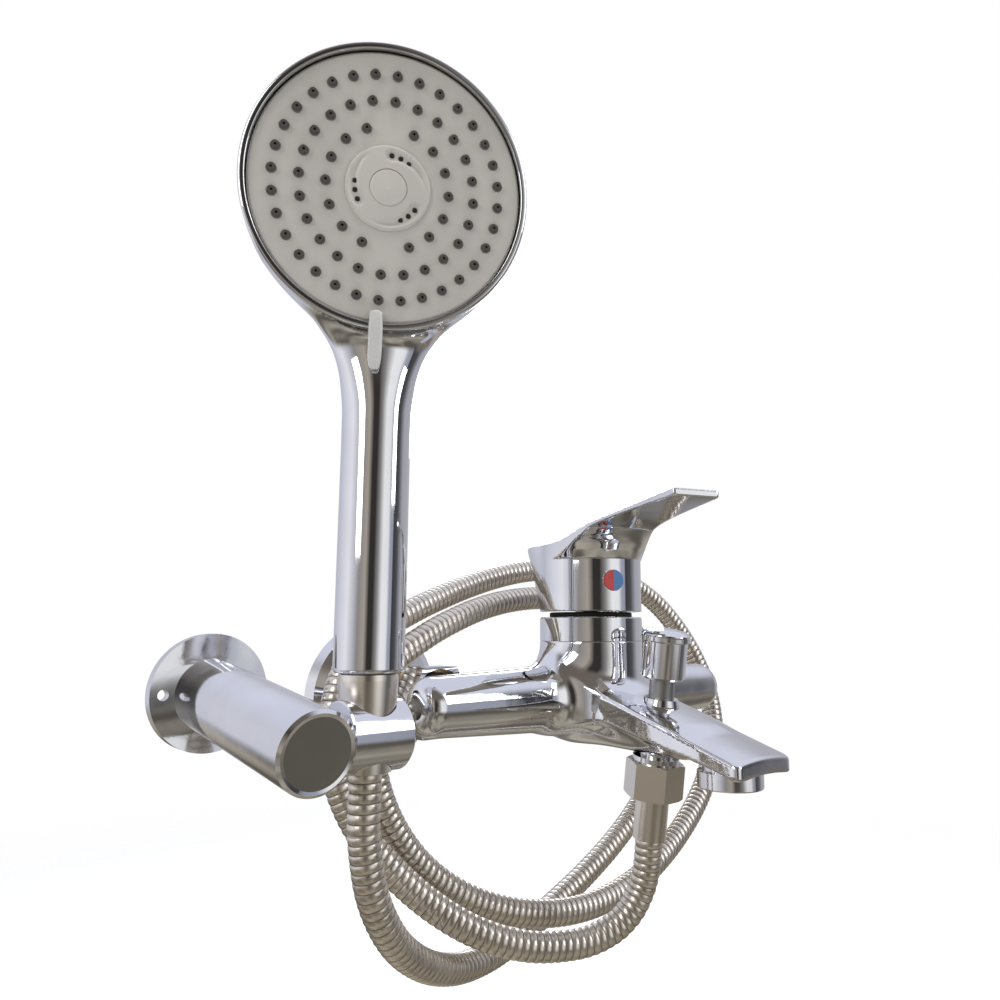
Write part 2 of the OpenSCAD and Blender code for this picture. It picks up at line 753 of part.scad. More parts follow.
wall = 2.4;
lip = 2.6;
tube_top = face_height - 78.5;
neck_low = face_height - head_r - 4.5;
plate_r = head_r - lip;
back_profile = [for (a = [0:9:90]) [head_r * 0.36 + (head_r * 0.64) * cos(a),
  -8 - (head_depth - 8) * sin(a)]];
inner_profile = [for (a = [90:-9:0]) [head_r * 0.36 + (head_r * 0.64 - wall) * cos(a),
  -8 - (head_depth - 8 - wall) * sin(a)]];
module shower_shell() {
  color("silver")
    difference() {
      union() {
        on_face()
          turned(concat([[0, -head_depth]], [for (i = [len(back_profile) - 1:-1:0]) back_profile[i]],
            [[head_r, -1], [head_r - 1, 0], [head_r - 2, 0], [0, 0]]));
        in_shower()
          turned([[0, 0], [grip_r - 1, 0], [grip_r, 1.2], [grip_r, 100], [0, 100]]);
        in_shower()
          hull() {
            translate([0, 0, 92])
              cylinder(r = grip_r, h = 4, $fn = 32);
            neck_slice(neck_low, 16.5, 17);
          }
        in_shower()
          hull() {
            neck_slice(neck_low, 16.5, 17);
            neck_slice(neck_low + 18, 26, 11);
          }
      }
      on_face()
        turned(concat([[0, -head_depth + wall]], inner_profile, [[head_r - wall, -4.4], [plate_r, -4],
          [plate_r, 5], [0, 5]]));
      in_shower()
        translate([0, 0, -1])
          cylinder(r = 8, h = tube_top + 2);
      in_shower()
        hull() {
          neck_bore(0, tube_top - 2, 6);
          neck_bore(3.4, neck_low, 5);
        }
      in_shower()
        hull() {
          neck_bore(3.4, neck_low, 5);
          neck_bore(4, neck_low + 14, 4.5);
        }
    }
}

// The handle's inner tube, with the thread that the cone nut takes.
module shower_waterway() {
  color("dimgray")
    in_shower()
      turned([[5, -10.8], [nipple_r, -10.8], [nipple_r, -eps], [7.9, -eps], [7.9, tube_top],
        [6, tube_top], [6, 10], [5, 8]]);
}

plate_z = -9;
seal_r = head_r - 7;
module distribution_plate() {
  color("dimgray")
    on_face()
      difference() {
        union() {
          translate([0, 0, plate_z - 4])
            cylinder(r = seal_r, h = 3.6);
          translate([0, 0, plate_z - 14.5])
            cylinder(r = 6, h = 12);
        }
        for (k = [0:5])
          rotate([0, 0, k * 60 + 30])
            translate([24, 0, -30])
              cylinder(r = 3, h = 40);
        translate([0, 0, plate_z - 10])
          cylinder(r = 1.6, h = far);
      }
}

module plate_seal() {
  color("black")
    on_face()
      tube(seal_r + 2.6, seal_r + seat, plate_z - 3.6, plate_z - 1);
}

// Spray face: a plate with a stem for every nozzle, the raised insert, its jets and the button.
face_z = -2;
ring_places = [for (k = [0:outer_nozzles - 1]) [outer_ring_r, k * 360 / outer_nozzles + 8.8],
  for (k = [0:middle_nozzles - 1]) [middle_ring_r, k * 360 / middle_nozzles + 12.6],
  for (k = [0:inner_places - 1]) if (k % (inner_places / 2) != 0) [inner_ring_r,
    k * 360 / inner_places + 90]];
nozzle_r = 2;
module face_plate() {
  color("lightgray")
    on_face()
      difference() {
        turned([[insert_r + seat, plate_z], [plate_r - 2.2, plate_z], [plate_r - 2.2, face_z - 2.4],
          [plate_r - free, face_z - 2], [plate_r - free, face_z - 0.6], [plate_r - free - 0.8, face_z],
          [insert_r + seat, face_z]]);
        for (p = ring_places)
          rotate([0, 0, p[1]])
            translate([p[0], 0, -30])
              cylinder(r = nozzle_r, h = 40, $fn = 24);
      }
}

module nozzles() {
  color("dimgray")
    on_face()
      for (p = ring_places)
        rotate([0, 0, p[1]])
          translate([p[0], 0, 0])
            rotate_extrude($fn = 24)
              polygon([[0.5, plate_z], [nozzle_r, plate_z], [nozzle_r, face_z], [nozzle_r - 0.6, face_z + 1.8],
                [0.5, face_z + 1.8]]);
}

jet_places = [for (g = [0:2], k = [-1:1]) [insert_r * 0.77, 90 - 20 - g * 120 - k * 16]];
module spray_insert() {
  color("gainsboro")
    on_face()
      difference() {
        turned([[button_r + seat, plate_z], [insert_r, plate_z], [insert_r, face_z + 0.2],
          [insert_r - 0.8, face_z + 1],
          [button_r + seat, face_z + 1.2]]);
        for (g = [0:2])
          rotate([0, 0, 70 - g * 120])
            translate([insert_r * 0.77, 0, face_z + 0.5])
              cylinder(r = 3.4, h = 5, $fn = 32);
        for (p = jet_places)
          rotate([0, 0, p[1]])
            translate([p[0], 0, -30])
              cylinder(r = 0.8, h = 40, $fn = 24);
      }
}

module insert_jets() {
  color("black")
    on_face()
      for (p = jet_places)
        rotate([0, 0, p[1]])
          translate([p[0], 0, 0])
            tube(0.8, 0.35, plate_z, face_z + 0.6, $fn = 24);
}

module centre_button() {
  color("gainsboro")
    on_face()
      turned([[0, face_z - 1.2], [button_r, face_z - 1.2], [button_r, face_z + 0.9], [button_r - 0.6,
        face_z + 1.3],
        [0, face_z + 1.6]]);
}

module face_screw() {
  color("dimgray")
    on_face()
      turned([[0, plate_z - 9], [1.6, plate_z - 9], [1.6, plate_z + 1], [4.4, plate_z + 1], [4.4,
        plate_z + 3.6], [0, plate_z + 3.6]]);
}

// The tab stands on the face near its lower edge and reaches over the rim.
tab_lift = 0.4;
tab_reach = 12.4;
tab_side = -2.6;
module selector_tab() {
  color("whitesmoke")
    on_face()
      translate([tab_side, 0, 0]) {
        translate([-2.6, -plate_r + 1.4, face_z + 0.02])
          cube([5.2, 3, tab_lift - face_z + 0.6]);
        translate([-2.6, -head_r - tab_reach, tab_lift])
          cube([5.2, tab_reach + lip + 4.4, 2.6]);
        translate([0, -head_r - tab_reach, tab_lift])
          cylinder(r = 2.6, h = 2.6, $fn = 32);
      }
}

// Wall bracket: a plate on the wall, the falling arm, its cap and the swivel barrel.
post_top = holder_z + (post_reach + holder_y) * -tan(post_fall) + 0;
module on_post() {
  translate([bracket_x, holder_y, holder_z])
    rotate([90 + post_fall, 0, 0])
      children();
}
front = (post_reach + holder_y) / cos(post_fall);
plate_t = 5;
post_centre_z = holder_z - holder_y * tan(post_fall);
module bracket_plate() {
  color("silver")
    translate([bracket_x, 0, post_centre_z])
      rotate([90, 0, 0])
        difference() {
          cylinder(r = 24, h = plate_t);
          for (s = [-1, 1])
            translate([s * 18.8, 0, -1])
              cylinder(r = 2.2, h = 30);
        }
  color("silver")
    intersection() {
      on_post()
        translate([0, 0, -far])
          cylinder(r = post_r - 3 - seat, h = far - 60);
      translate([bracket_x - 50, -24, -100])
        cube([100, 24 - plate_t + eps, 200]);
    }
}

module bracket_arm() {
  color("silver")
    difference() {
      on_post()
        translate([0, 0, -far])
          cylinder(r = post_r, h = far + front - 3);
      on_post()
        translate([0, 0, -far - 1])
          cylinder(r = post_r - 3, h = far + front - 1);
      translate([bracket_x - 100, -plate_t - eps, -200])
        cube([200, 400, 400]);
      translate([bracket_x, holder_y, holder_z])
        rotate([0, 90, 0])
          cylinder(r = 5 + run, h = far);
      on_post()
        translate([0, 0, grub_z])
          rotate([-90, 0, 0])
            cylinder(r = 1.75, h = far);
    }
}
grub_z = -70;

module arm_cap() {
  color("silver")
    on_post()
      turned([[0, front - 6], [post_r - 3 - seat, front - 6], [post_r - 3 - seat, front - 3 + eps],
        [post_r, front - 3 + eps],
        [post_r, front - 1], [post_r - 1.2, front], [post_r - 2.4, front - 0.3], [0, front - 0.3]]);
}

barrel_low = post_r + 0.4;
barrel_high = barrel_low + barrel_len;
module swivel_barrel() {
  color("silver")
    difference() {
      translate([bracket_x, holder_y, holder_z])
        rotate([0, 90, 0])
          union() {
            turned([[0, barrel_low], [barrel_r - 0.5, barrel_low], [barrel_r, barrel_low + 0.5],
              [barrel_r, barrel_high - 1.2], [barrel_r - 1.2, barrel_high], [0, barrel_high]]);
            translate([0, 0, post_r - 5.3])
              cylinder(r = 5, h = 6);
          }
      translate([shower_x, holder_y, 0])
        turned([[0, cone_low - 20], [hose_r + 1, cone_low - 20], [hose_r + 1, cone_low - free],
          [cone_r(cone_low) + 0.35, cone_low - free], [cone_r(cone_low) + 0.35, cone_low],
          [cone_r(cone_low + 40) + 0.35, cone_low + 40], [0, cone_low + 40]]);
      translate([shower_x - hose_r - 0.8, holder_y, -100])
        cube([2 * hose_r + 1.6, 60, 200]);
      translate([bracket_x - 5, holder_y, holder_z])
        rotate([0, 90, 0])
          cylinder(r = 1.7, h = barrel_low + 6);
    }
}

module pivot_screw() {
  color("dimgray")
    translate([bracket_x, holder_y, holder_z])
      rotate([0, 90, 0])
        turned([[0, post_r - 10], [4.2, post_r - 10], [4.2, post_r - 7], [1.7, post_r - 7], [1.7,
          barrel_low - 0.5],
          [0, barrel_low - 0.5]]);
}

module friction_washer() {
  color("black")
    translate([bracket_x, holder_y, holder_z])
      rotate([0, 90, 0])
        tube(6.6, 1.75, post_r - 6.98, post_r - 5.32);
}

module bracket_grub() {
  color("dimgray")
    on_post()
      translate([0, 0, grub_z])
        rotate([-90, 0, 0])
          translate([0, 0, post_r - 3 + 0.1])
            cylinder(r = 1.7, h = 2.8);
}

mixer_body();
left_union();
right_union();
union_nuts();
escutcheons();
filter_washers();
cartridge_housing();
cartridge_seal();
fixed_disc();
moving_disc();
cartridge_rotor();
cartridge_stem();
retaining_nut();
tower_ring();
lever_handle();
lever_screw();
indicator_cap();
diverter_knob();
diverter_stem();
diverter_bush();
diverter_seals();
aerator_housing();
aerator_insert();
aerator_seal();
outlet_nipple();
hose_nut();
hose_washer();
hose_ferrule();
hose_loops();
hose_riser();
hose_top();
cone_nut();
cone_washer();
shower_shell();
shower_waterway();
distribution_plate();
plate_seal();
face_plate();
nozzles();
spray_insert();
insert_jets();
centre_button();
face_screw();
selector_tab();
bracket_plate();
bracket_arm();
arm_cap();
swivel_barrel();
pivot_screw();
friction_washer();
bracket_grub();
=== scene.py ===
"""Looks of a bath shower mixer with its hand shower and hose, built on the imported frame."""
import math

import bpy
import numpy as np
from bpy.props import FloatProperty, FloatVectorProperty, PointerProperty
from bpy.types import Operator, Panel, PropertyGroup
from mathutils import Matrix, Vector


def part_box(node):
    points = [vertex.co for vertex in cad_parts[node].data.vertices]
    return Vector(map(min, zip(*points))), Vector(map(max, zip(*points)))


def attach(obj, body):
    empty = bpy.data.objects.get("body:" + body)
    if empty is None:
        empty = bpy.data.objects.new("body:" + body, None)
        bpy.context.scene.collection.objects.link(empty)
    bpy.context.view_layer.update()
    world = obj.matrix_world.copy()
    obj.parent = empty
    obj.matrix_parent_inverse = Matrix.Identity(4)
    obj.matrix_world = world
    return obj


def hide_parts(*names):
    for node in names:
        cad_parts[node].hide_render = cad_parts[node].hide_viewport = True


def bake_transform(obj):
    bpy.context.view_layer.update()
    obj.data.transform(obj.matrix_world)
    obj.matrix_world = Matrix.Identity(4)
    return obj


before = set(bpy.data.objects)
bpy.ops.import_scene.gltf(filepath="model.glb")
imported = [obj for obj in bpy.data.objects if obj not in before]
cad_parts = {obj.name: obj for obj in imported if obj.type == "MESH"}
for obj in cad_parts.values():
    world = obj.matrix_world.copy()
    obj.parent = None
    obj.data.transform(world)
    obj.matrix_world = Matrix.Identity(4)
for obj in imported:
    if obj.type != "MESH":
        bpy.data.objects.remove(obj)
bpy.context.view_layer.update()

bl_info = {
    "name": "Bath shower mixer",
    "version": (1, 0, 0),
    "blender": (4, 5, 0),
    "location": "3D View > Sidebar > Mixer",
    "description": "Castings, hose, spray face and finishes of a bath shower mixer",
    "category": "Object",
}

MM = 0.001

# Places and sizes of the castings and the face in millimetres, after the part's source.
TOWER_Y = -75.0
TOWER_TOP = 26.0
ARM_Y = -70.0
ARM_TIP = 98.5
CHAMBER_FLOOR = 7.0
CHAMBER_R = 20.06
COLLAR_FLOOR = 20.0
COLLAR_R = 22.26
LEVER_FOOT = 39.6
HOUSING_TOP = 31.8
CAVITY_R = 21.5
CAVITY_TOP = 22.0
CAP_SEAT_R = 4.95
CAP_SEAT_UP = 14.0
CAP_SEAT_AHEAD = 23.0
UNDERCUT = math.radians(16)
UNDERCUT_AHEAD = -7.0
DIVERTER_FOOT = (-116.0, -1.83)
DIVERTER_LEAN = (-0.13917, 0.99027)
DIVERTER_BORE = 7.22
SHOWER_FOOT = (-127.5, -82.0, 15.6)
FACE_AHEAD = 25.0
FACE_UP = 178.5
FACE_LEVEL = -2.0
INSERT_R = 16.0
BUTTON_R = 7.06
INSERT_BACK = FACE_LEVEL - 6.5
JET_RING = 12.32
JET_STEP = 16.0
SWIRLS = (70.0, -50.0, -170.0)
TAB_SIDE = -2.6

# Camera and the viewer's level direction, as seen from the mixer.
CAMERA_PLACE = (-0.2884, -0.3419, 0.031)
CAMERA_TURN = (99.23, 0.0, -43.0)
TO_VIEWER = (-0.682, -0.731, 0.0)
VIEWERS_RIGHT = (0.731, -0.682, 0.0)
FROM_VIEWER = (0.682, 0.731, 0.0)

# Route of the hose's centre in millimetres, as in the part's source.
LOOP_ROUTE = [
    (0, -108.067, -58.272), (0, -106.188, -71.641), (-1.5, -103.5, -81.5), (-6.5, -100.5, -90), (-15, -96.5, -96),
    (-27.9, -90.7, -99.1), (-48.6, -82.6, -97), (-67.4, -73.1, -89.7), (-83.1, -62.1, -78.3),
    (-96.6, -52.1, -63.6), (-108.1, -44.1, -46.3), (-115.1, -38.8, -25.8), (-115.1, -35.6, -3.8),
    (-106.6, -32.2, 16.6), (-89.4, -28.6, 30.7), (-69.2, -24.5, 39.8), (-48.6, -20, 47.1), (-27.6, -15.9, 53.6),
    (-6.1, -13.5, 59.3), (15.8, -12, 63.4), (38, -10.9, 65), (60.4, -10.5, 65), (82.6, -11.6, 63.8),
    (104, -14.7, 58.5), (121.6, -20.7, 46.4), (133.6, -28.4, 29.2), (139.9, -36.6, 9.5), (140.3, -44.5, -11.3),
    (133.6, -51.1, -31.5), (120.8, -55.9, -49), (104.2, -59.4, -63.5), (85.4, -62, -75.3), (65.3, -64.3, -84.7),
    (44.2, -66.1, -91.7), (22.3, -66.9, -95.9), (0, -66.2, -97.1), (-22.1, -63.5, -95), (-43.2, -59.1, -89.5),
    (-62.7, -53.6, -80.1), (-79.2, -48, -66.2), (-91.1, -43.2, -48), (-97.5, -39.6, -27), (-97.7, -37, -4.6),
    (-87.6, -35.4, 15.7), (-68.8, -33.9, 27.6), (-48, -31.2, 36.2), (-26.8, -28.2, 42.6), (-5, -26.1, 46.6),
    (17.3, -25, 48.2), (39.6, -24.8, 47.5), (61.6, -25.2, 43.7), (82.2, -26.2, 35.3), (99, -27.8, 20.9),
    (108.9, -29.7, 1.1), (110.8, -32.2, -20.9), (102.3, -35.3, -41.1), (87.2, -38, -57.3), (69.6, -39.8, -70.9),
    (50.4, -41, -82.3), (30.2, -42.2, -91.7), (9.2, -44.3, -99.1), (-12.1, -47.9, -104.5), (-33.6, -53.2, -107.7)]
RISER_ROUTE = [
    (-55, -59.5, -107.5), (-75.7, -66.5, -103.2), (-95, -73.3, -94.3), (-111.7, -79, -80.6),
    (-123.1, -81.9, -61.9), (-127.5, -82, -40), (-127.5, -82, -26.5)]
CONE_LOW = -19.23

# Curves of the lever in millimetres ahead of its axis: top, underside and half width.
LEVER_TOP = [(-40, 31.5), (4, 31.6), (10, 32.2), (16, 33.6), (22, 35.6), (28, 37.5), (34, 39), (60, 42), (95, 45.5)]
LEVER_UNDER = [(-40, 24), (20, 24), (24.4, 25), (27, 28.5), (30, 32), (34, 35), (38, 37), (52, 39.2), (95, 42.4)]
LEVER_WIDTH = [(-40, 23.6), (0, 23.6), (8, 23), (22, 19.6), (34, 16.6), (60, 13.4), (95, 10.4)]

# Half width, half depth and middle of the handle and its scooped neck by height, in millimetres.
NECK_WIDTH = [(-5, 13), (80, 13), (96, 13.1), (108, 14.2), (120, 17), (130, 21.2), (138, 25), (150, 28)]
NECK_DEPTH = [(-5, 13), (80, 13), (96, 12.8), (108, 11.2), (120, 9), (130, 7), (138, 5.5), (150, 4)]
NECK_AHEAD = [(-5, 0), (80, 0), (96, 0.3), (108, 1.8), (120, 3.2), (130, 4), (138, 5.4), (150, 9)]


class HoseSizes(PropertyGroup):
    """Sizes and colour of the ribbed hose."""

    radius: FloatProperty(name="Radius", description="Radius over the ribs", default=0.006, unit="LENGTH")
    pitch: FloatProperty(name="Pitch", description="Length of one rib", default=0.0032, unit="LENGTH")
    groove: FloatProperty(name="Groove", description="Depth between ribs", default=0.00036, unit="LENGTH")
    colour: FloatVectorProperty(
        name="Steel", description="Colour of the steel strip", default=(0.84, 0.78, 0.69), subtype="COLOR", size=3)


class CastingSizes(PropertyGroup):
    """Sizes of the mixer body and its lever."""

    tower: FloatProperty(name="Tower", description="Radius of the tower", default=0.0245, unit="LENGTH")
    arm_root: FloatProperty(
        name="Arm root", description="Radius of the arms by the tower", default=0.0155, unit="LENGTH")
    arm_end: FloatProperty(
        name="Arm end", description="Radius of the arms at their ends", default=0.0122, unit="LENGTH")
    spout: FloatProperty(
        name="Spout", description="Reach of the spout from the tower's axis", default=0.092, unit="LENGTH")
    spout_width: FloatProperty(name="Spout width", description="Width of the spout", default=0.039, unit="LENGTH")
    blade: FloatProperty(name="Blade", description="Reach of the lever from its axis", default=0.094, unit="LENGTH")
    lever_turn: FloatProperty(
        name="Lever turn", description="Turn of the lever at rest", default=math.radians(-21), subtype="ANGLE")


class ShowerSizes(PropertyGroup):
    """Sizes of the hand shower."""

    head: FloatProperty(name="Head", description="Radius of the head", default=0.0535, unit="LENGTH")
    grip: FloatProperty(name="Grip", description="Radius of the handle", default=0.013, unit="LENGTH")
    lip: FloatProperty(name="Lip", description="Width of the rim round the face", default=0.0026, unit="LENGTH")
    turn: FloatProperty(name="Turn", description="Turn of the hand shower", default=math.radians(-28), subtype="ANGLE")
    tilt: FloatProperty(name="Tilt", description="Fall of the face", default=math.radians(10), subtype="ANGLE")


class FinishColours(PropertyGroup):
    """Colours of the finishes."""

    chrome: FloatVectorProperty(
        name="Chrome", description="Plated castings", default=(0.80, 0.805, 0.83), subtype="COLOR", size=3)
    nickel: FloatVectorProperty(
        name="Nickel", description="Satin hose fittings", default=(0.84, 0.79, 0.715), subtype="COLOR", size=3)
    face: FloatVectorProperty(
        name="Face", description="Spray face", default=(0.56, 0.54, 0.50), subtype="COLOR", size=3)
    nozzle: FloatVectorProperty(
        name="Nozzle", description="Rubber nozzles", default=(0.16, 0.15, 0.135), subtype="COLOR", size=3)


class StageSizes(PropertyGroup):
    """Light and floor of the stage."""

    floor: FloatProperty(name="Floor", description="Height of the floor", default=-0.32, unit="LENGTH")
    light: FloatProperty(name="Light", description="Strength of the soft boxes", default=1.0)


class Wire:
    """A node's output that stands in Python sums. Each sum on it adds a Math node."""

    def __init__(self, tree, socket=None):
        self.tree = tree
        self.socket = socket

    def node(self, kind, inputs=None, out=0, **settings):
        """Adds a node: its settings are set first, then each input is linked to a Wire or given a value."""
        made = self.tree.nodes.new(kind)
        for name, value in settings.items():
            if name == "stops":
                ramp = made.color_ramp
                while len(ramp.elements) < len(value):
                    ramp.elements.new(1.0)
                for element, (place, shade) in zip(ramp.elements, value):
                    element.position = place
                    element.color = (*shade, 1.0) if len(shade) == 3 else shade
            else:
                setattr(made, name, value)
        for key, value in (inputs or {}).items():
            if isinstance(value, Wire):
                self.tree.links.new(value.socket, made.inputs[key])
            else:
                made.inputs[key].default_value = value
        return Wire(self.tree, made.outputs[out])

    def math(self, operation, *values):
        return self.node("ShaderNodeMath", dict(enumerate(values)), operation=operation)

    def __add__(self, other):
        return self.math("ADD", self, other)

    def __radd__(self, other):
        return self.math("ADD", other, self)

    def __sub__(self, other):
        return self.math("SUBTRACT", self, other)

    def __rsub__(self, other):
        return self.math("SUBTRACT", other, self)

    def __mul__(self, other):
        return self.math("MULTIPLY", self, other)

    def __rmul__(self, other):
        return self.math("MULTIPLY", other, self)

    def __truediv__(self, other):
        return self.math("DIVIDE", self, other)

    def step(self, low, high):
        """A smooth step from 0 at low to 1 at high."""
        return self.node(
            "ShaderNodeMapRange", {0: self, 1: low, 2: high, 3: 0.0, 4: 1.0}, interpolation_type="SMOOTHSTEP")

    def place(self):
        return self.node("ShaderNodeTexCoord", out=3)

    def along(self, way, vector=None):
        """The distance of a place along a direction."""
        return self.node(
            "ShaderNodeVectorMath", {0: vector or self.place(), 1: way}, out=1, operation="DOT_PRODUCT")

    def noise(self, scale, detail=3.0, rough=0.5, vector=None):
        return self.node("ShaderNodeTexNoise", {
            "Vector": vector or self.place(), "Scale": scale, "Detail": detail, "Roughness": rough})

    def mix(self, factor, first, second):
        """A colour between two colours."""
        shade = [c if isinstance(c, Wire) else (*c, 1.0) for c in (first, second)]
        return self.node("ShaderNodeMix", {0: factor, 6: shade[0], 7: shade[1]}, out=2, data_type="RGBA")

    def bump(self, height, strength, depth):
        return self.node("ShaderNodeBump", {"Strength": strength, "Distance": depth, "Height": height})


def finish_of(name, build, **fixed):
    """A material. Fixed values are set on the shader's own sockets, and build gives what changes over the surface."""
    material = bpy.data.materials.new(name)
    material.use_nodes = True
    tree = material.node_tree
    shader = tree.nodes["Principled BSDF"]
    for key, value in fixed.items():
        shader.inputs[key.replace("_", " ")].default_value = value
    for key, wire in build(Wire(tree)).items():
        tree.links.new(wire.socket, shader.inputs[key])
    return material


def darker(colour, share):
    """A colour scaled by a share, which may also be over one."""
    return tuple(c * share for c in colour)


def chrome_finish(name, colour, wave=0.12, rough=0.025):
    """Bright plating over a hand-polished casting: slow waves, faint haze and small dried water marks."""

    def build(w):
        haze = w.noise(38.0, 4.0)
        fine = w.noise(900.0, 2.0)
        marks = w.noise(240.0, 2.0, 0.6).step(0.66, 0.74) * haze.step(0.5, 0.62)
        return {
            "Base Color": w.mix(haze.step(0.3, 0.75), darker(colour, 0.93), colour),
            "Roughness": rough + 0.035 * haze + 0.02 * fine + 0.16 * marks,
            "Normal": w.bump(w.noise(46.0, 2.0, 0.35) + 0.02 * fine, wave, 0.0016),
        }

    return finish_of(name, build, Metallic=1.0, IOR=1.5)


def satin_finish(name, colour):
    """Turned and brushed plating: hair lines round the piece, seen as bands along its axis."""

    def build(w):
        height = w.along((0.0, 0.0, 1.0))
        lines = w.noise(1.0, 4.0, 0.7, vector=w.node(
            "ShaderNodeCombineXYZ", {0: height * 5200.0, 1: w.along((60.0, 60.0, 0.0)), 2: 0.0}))
        return {
            "Base Color": w.mix(lines, darker(colour, 0.95), colour),
            "Roughness": 0.2 + 0.08 * lines,
            "Normal": w.bump(lines, 0.02, 0.0001),
        }

    return finish_of(name, build, Metallic=1.0)


def hose_finish(colour):
    """Wound steel strip: bright crowned ribs, painted shade as dark lines in the seams, small differences from rib to
    rib.
    """

    def build(w):
        seam = w.node("ShaderNodeAttribute", out=2, attribute_name="seam")
        rib = w.node("ShaderNodeAttribute", out=2, attribute_name="rib")
        wear = w.noise(420.0, 3.0)
        body = w.mix(0.55 * rib + 0.45 * wear, darker(colour, 0.8), colour)
        return {
            # Painted shade: the seams' near-black colour, lower metallic and higher roughness stand in for the shade in
            # the grooves between ribs.
            "Base Color": w.mix(seam, body, (0.035, 0.03, 0.025)),
            "Roughness": 0.23 + 0.08 * wear + 0.06 * rib + 0.3 * seam,
            "Metallic": 1.0 - 0.35 * seam,
        }

    return finish_of("hose_steel_strip", build)


def moulded_finish(name, colour, rough):
    """Moulded plastic or rubber: fine grain, slow shade differences."""

    def build(w):
        grains = w.noise(1400.0, 3.0, 0.6)
        slow = w.noise(30.0, 3.0)
        return {
            "Base Color": w.mix(slow.step(0.3, 0.7), darker(colour, 0.92), colour),
            "Roughness": rough + 0.1 * grains,
            "Normal": w.bump(grains, 0.12, 0.00006),
        }

    return finish_of(name, build)


def metal_finish(name, colour, rough):
    """Plain machined metal with turning marks and slow tarnish."""

    def build(w):
        slow = w.noise(60.0, 4.0)
        return {
            "Base Color": w.mix(slow, darker(colour, 0.7), colour),
            "Roughness": rough + 0.18 * slow,
            "Normal": w.bump(w.noise(1800.0, 2.0), 0.1, 0.0001),
        }

    return finish_of(name, build, Metallic=1.0)


def nozzle_finish(colour, way, level):
    """Rubber nozzles: grey skirts by the face, darker tips."""

    def build(w):
        tip = w.along(way).step(level - 0.0004, level + 0.0012)
        grains = w.noise(1500.0, 3.0)
        return {
            "Base Color": w.mix(tip, darker(colour, 1.5), darker(colour, 0.42)),
            "Roughness": 0.55 + 0.2 * grains,
        }

    return finish_of("nozzle_rubber", build)


def indicator_finish(way, level):
    """Indicator cap: red on the hot side, blue on the cold side, with a thin clear coat."""

    def build(w):
        side = w.along(way).step(level - 0.0001, level + 0.0001)
        slow = w.noise(700.0, 3.0)
        return {
            "Base Color": w.mix(
                side, w.mix(slow, (0.42, 0.012, 0.012), (0.62, 0.03, 0.025)),
                w.mix(slow, (0.02, 0.13, 0.36), (0.06, 0.24, 0.52))),
            "Roughness": 0.24 + 0.12 * slow,
        }

    return finish_of("indicator_enamel", build, Coat_Weight=0.6, Coat_Roughness=0.08)


def put_mesh(name, points, faces, material, body, nodes=(), normals=None, values=None, flat_angle=None):
    """Makes an object at the origin from points in millimetres and rows of faces, and lets it ride on a body."""
    mesh = bpy.data.meshes.new(name)
    rows = [row for block in faces for row in np.asarray(block).tolist()]
    mesh.from_pydata((np.asarray(points, float) * MM).tolist(), [], rows)
    mesh.shade_smooth()
    if flat_angle is not None:
        mesh.set_sharp_from_angle(angle=math.radians(flat_angle))
    if normals is not None:
        mesh.normals_split_custom_set(normals.tolist())
    for key, value in (values or {}).items():
        mesh.attributes.new(key, "FLOAT", "POINT").data.foreach_set("value", np.asarray(value, np.float32))
    mesh.materials.append(material)
    piece = bpy.data.objects.new(name, mesh)
    bpy.context.scene.collection.objects.link(piece)
    if body:
        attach(piece, body)
    if nodes:
        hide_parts(*nodes)
    return piece


def smooth_curve(route, steps):
    """A curve through a row of points: each stretch is a cubic whose ends point along the neighbours' chord."""
    route = np.asarray(route, float)
    before = np.vstack([route[:1], route[:-2]])
    after = np.vstack([route[2:], route[-1:]])
    t = (np.arange(steps) / steps)[None, :, None]
    p0, p1, p2, p3 = (block[:, None, :] for block in (before, route[:-1], route[1:], after))
    parts = 0.5 * (2 * p1 + (p2 - p0) * t + (2 * p0 - 5 * p1 + 4 * p2 - p3) * t ** 2
                   + (3 * p1 - p0 - 3 * p2 + p3) * t ** 3)
    return np.vstack([parts.reshape(-1, 3), route[-1:]])


def points_along(curve, places):
    """Points of a polyline at given distances from its start."""
    way = np.r_[0.0, np.cumsum(np.linalg.norm(np.diff(curve, axis=0), axis=1))]
    return np.stack([np.interp(places, way, curve[:, k]) for k in range(3)], axis=1)


def curve_length(curve):
    return float(np.linalg.norm(np.diff(curve, axis=0), axis=1).sum())


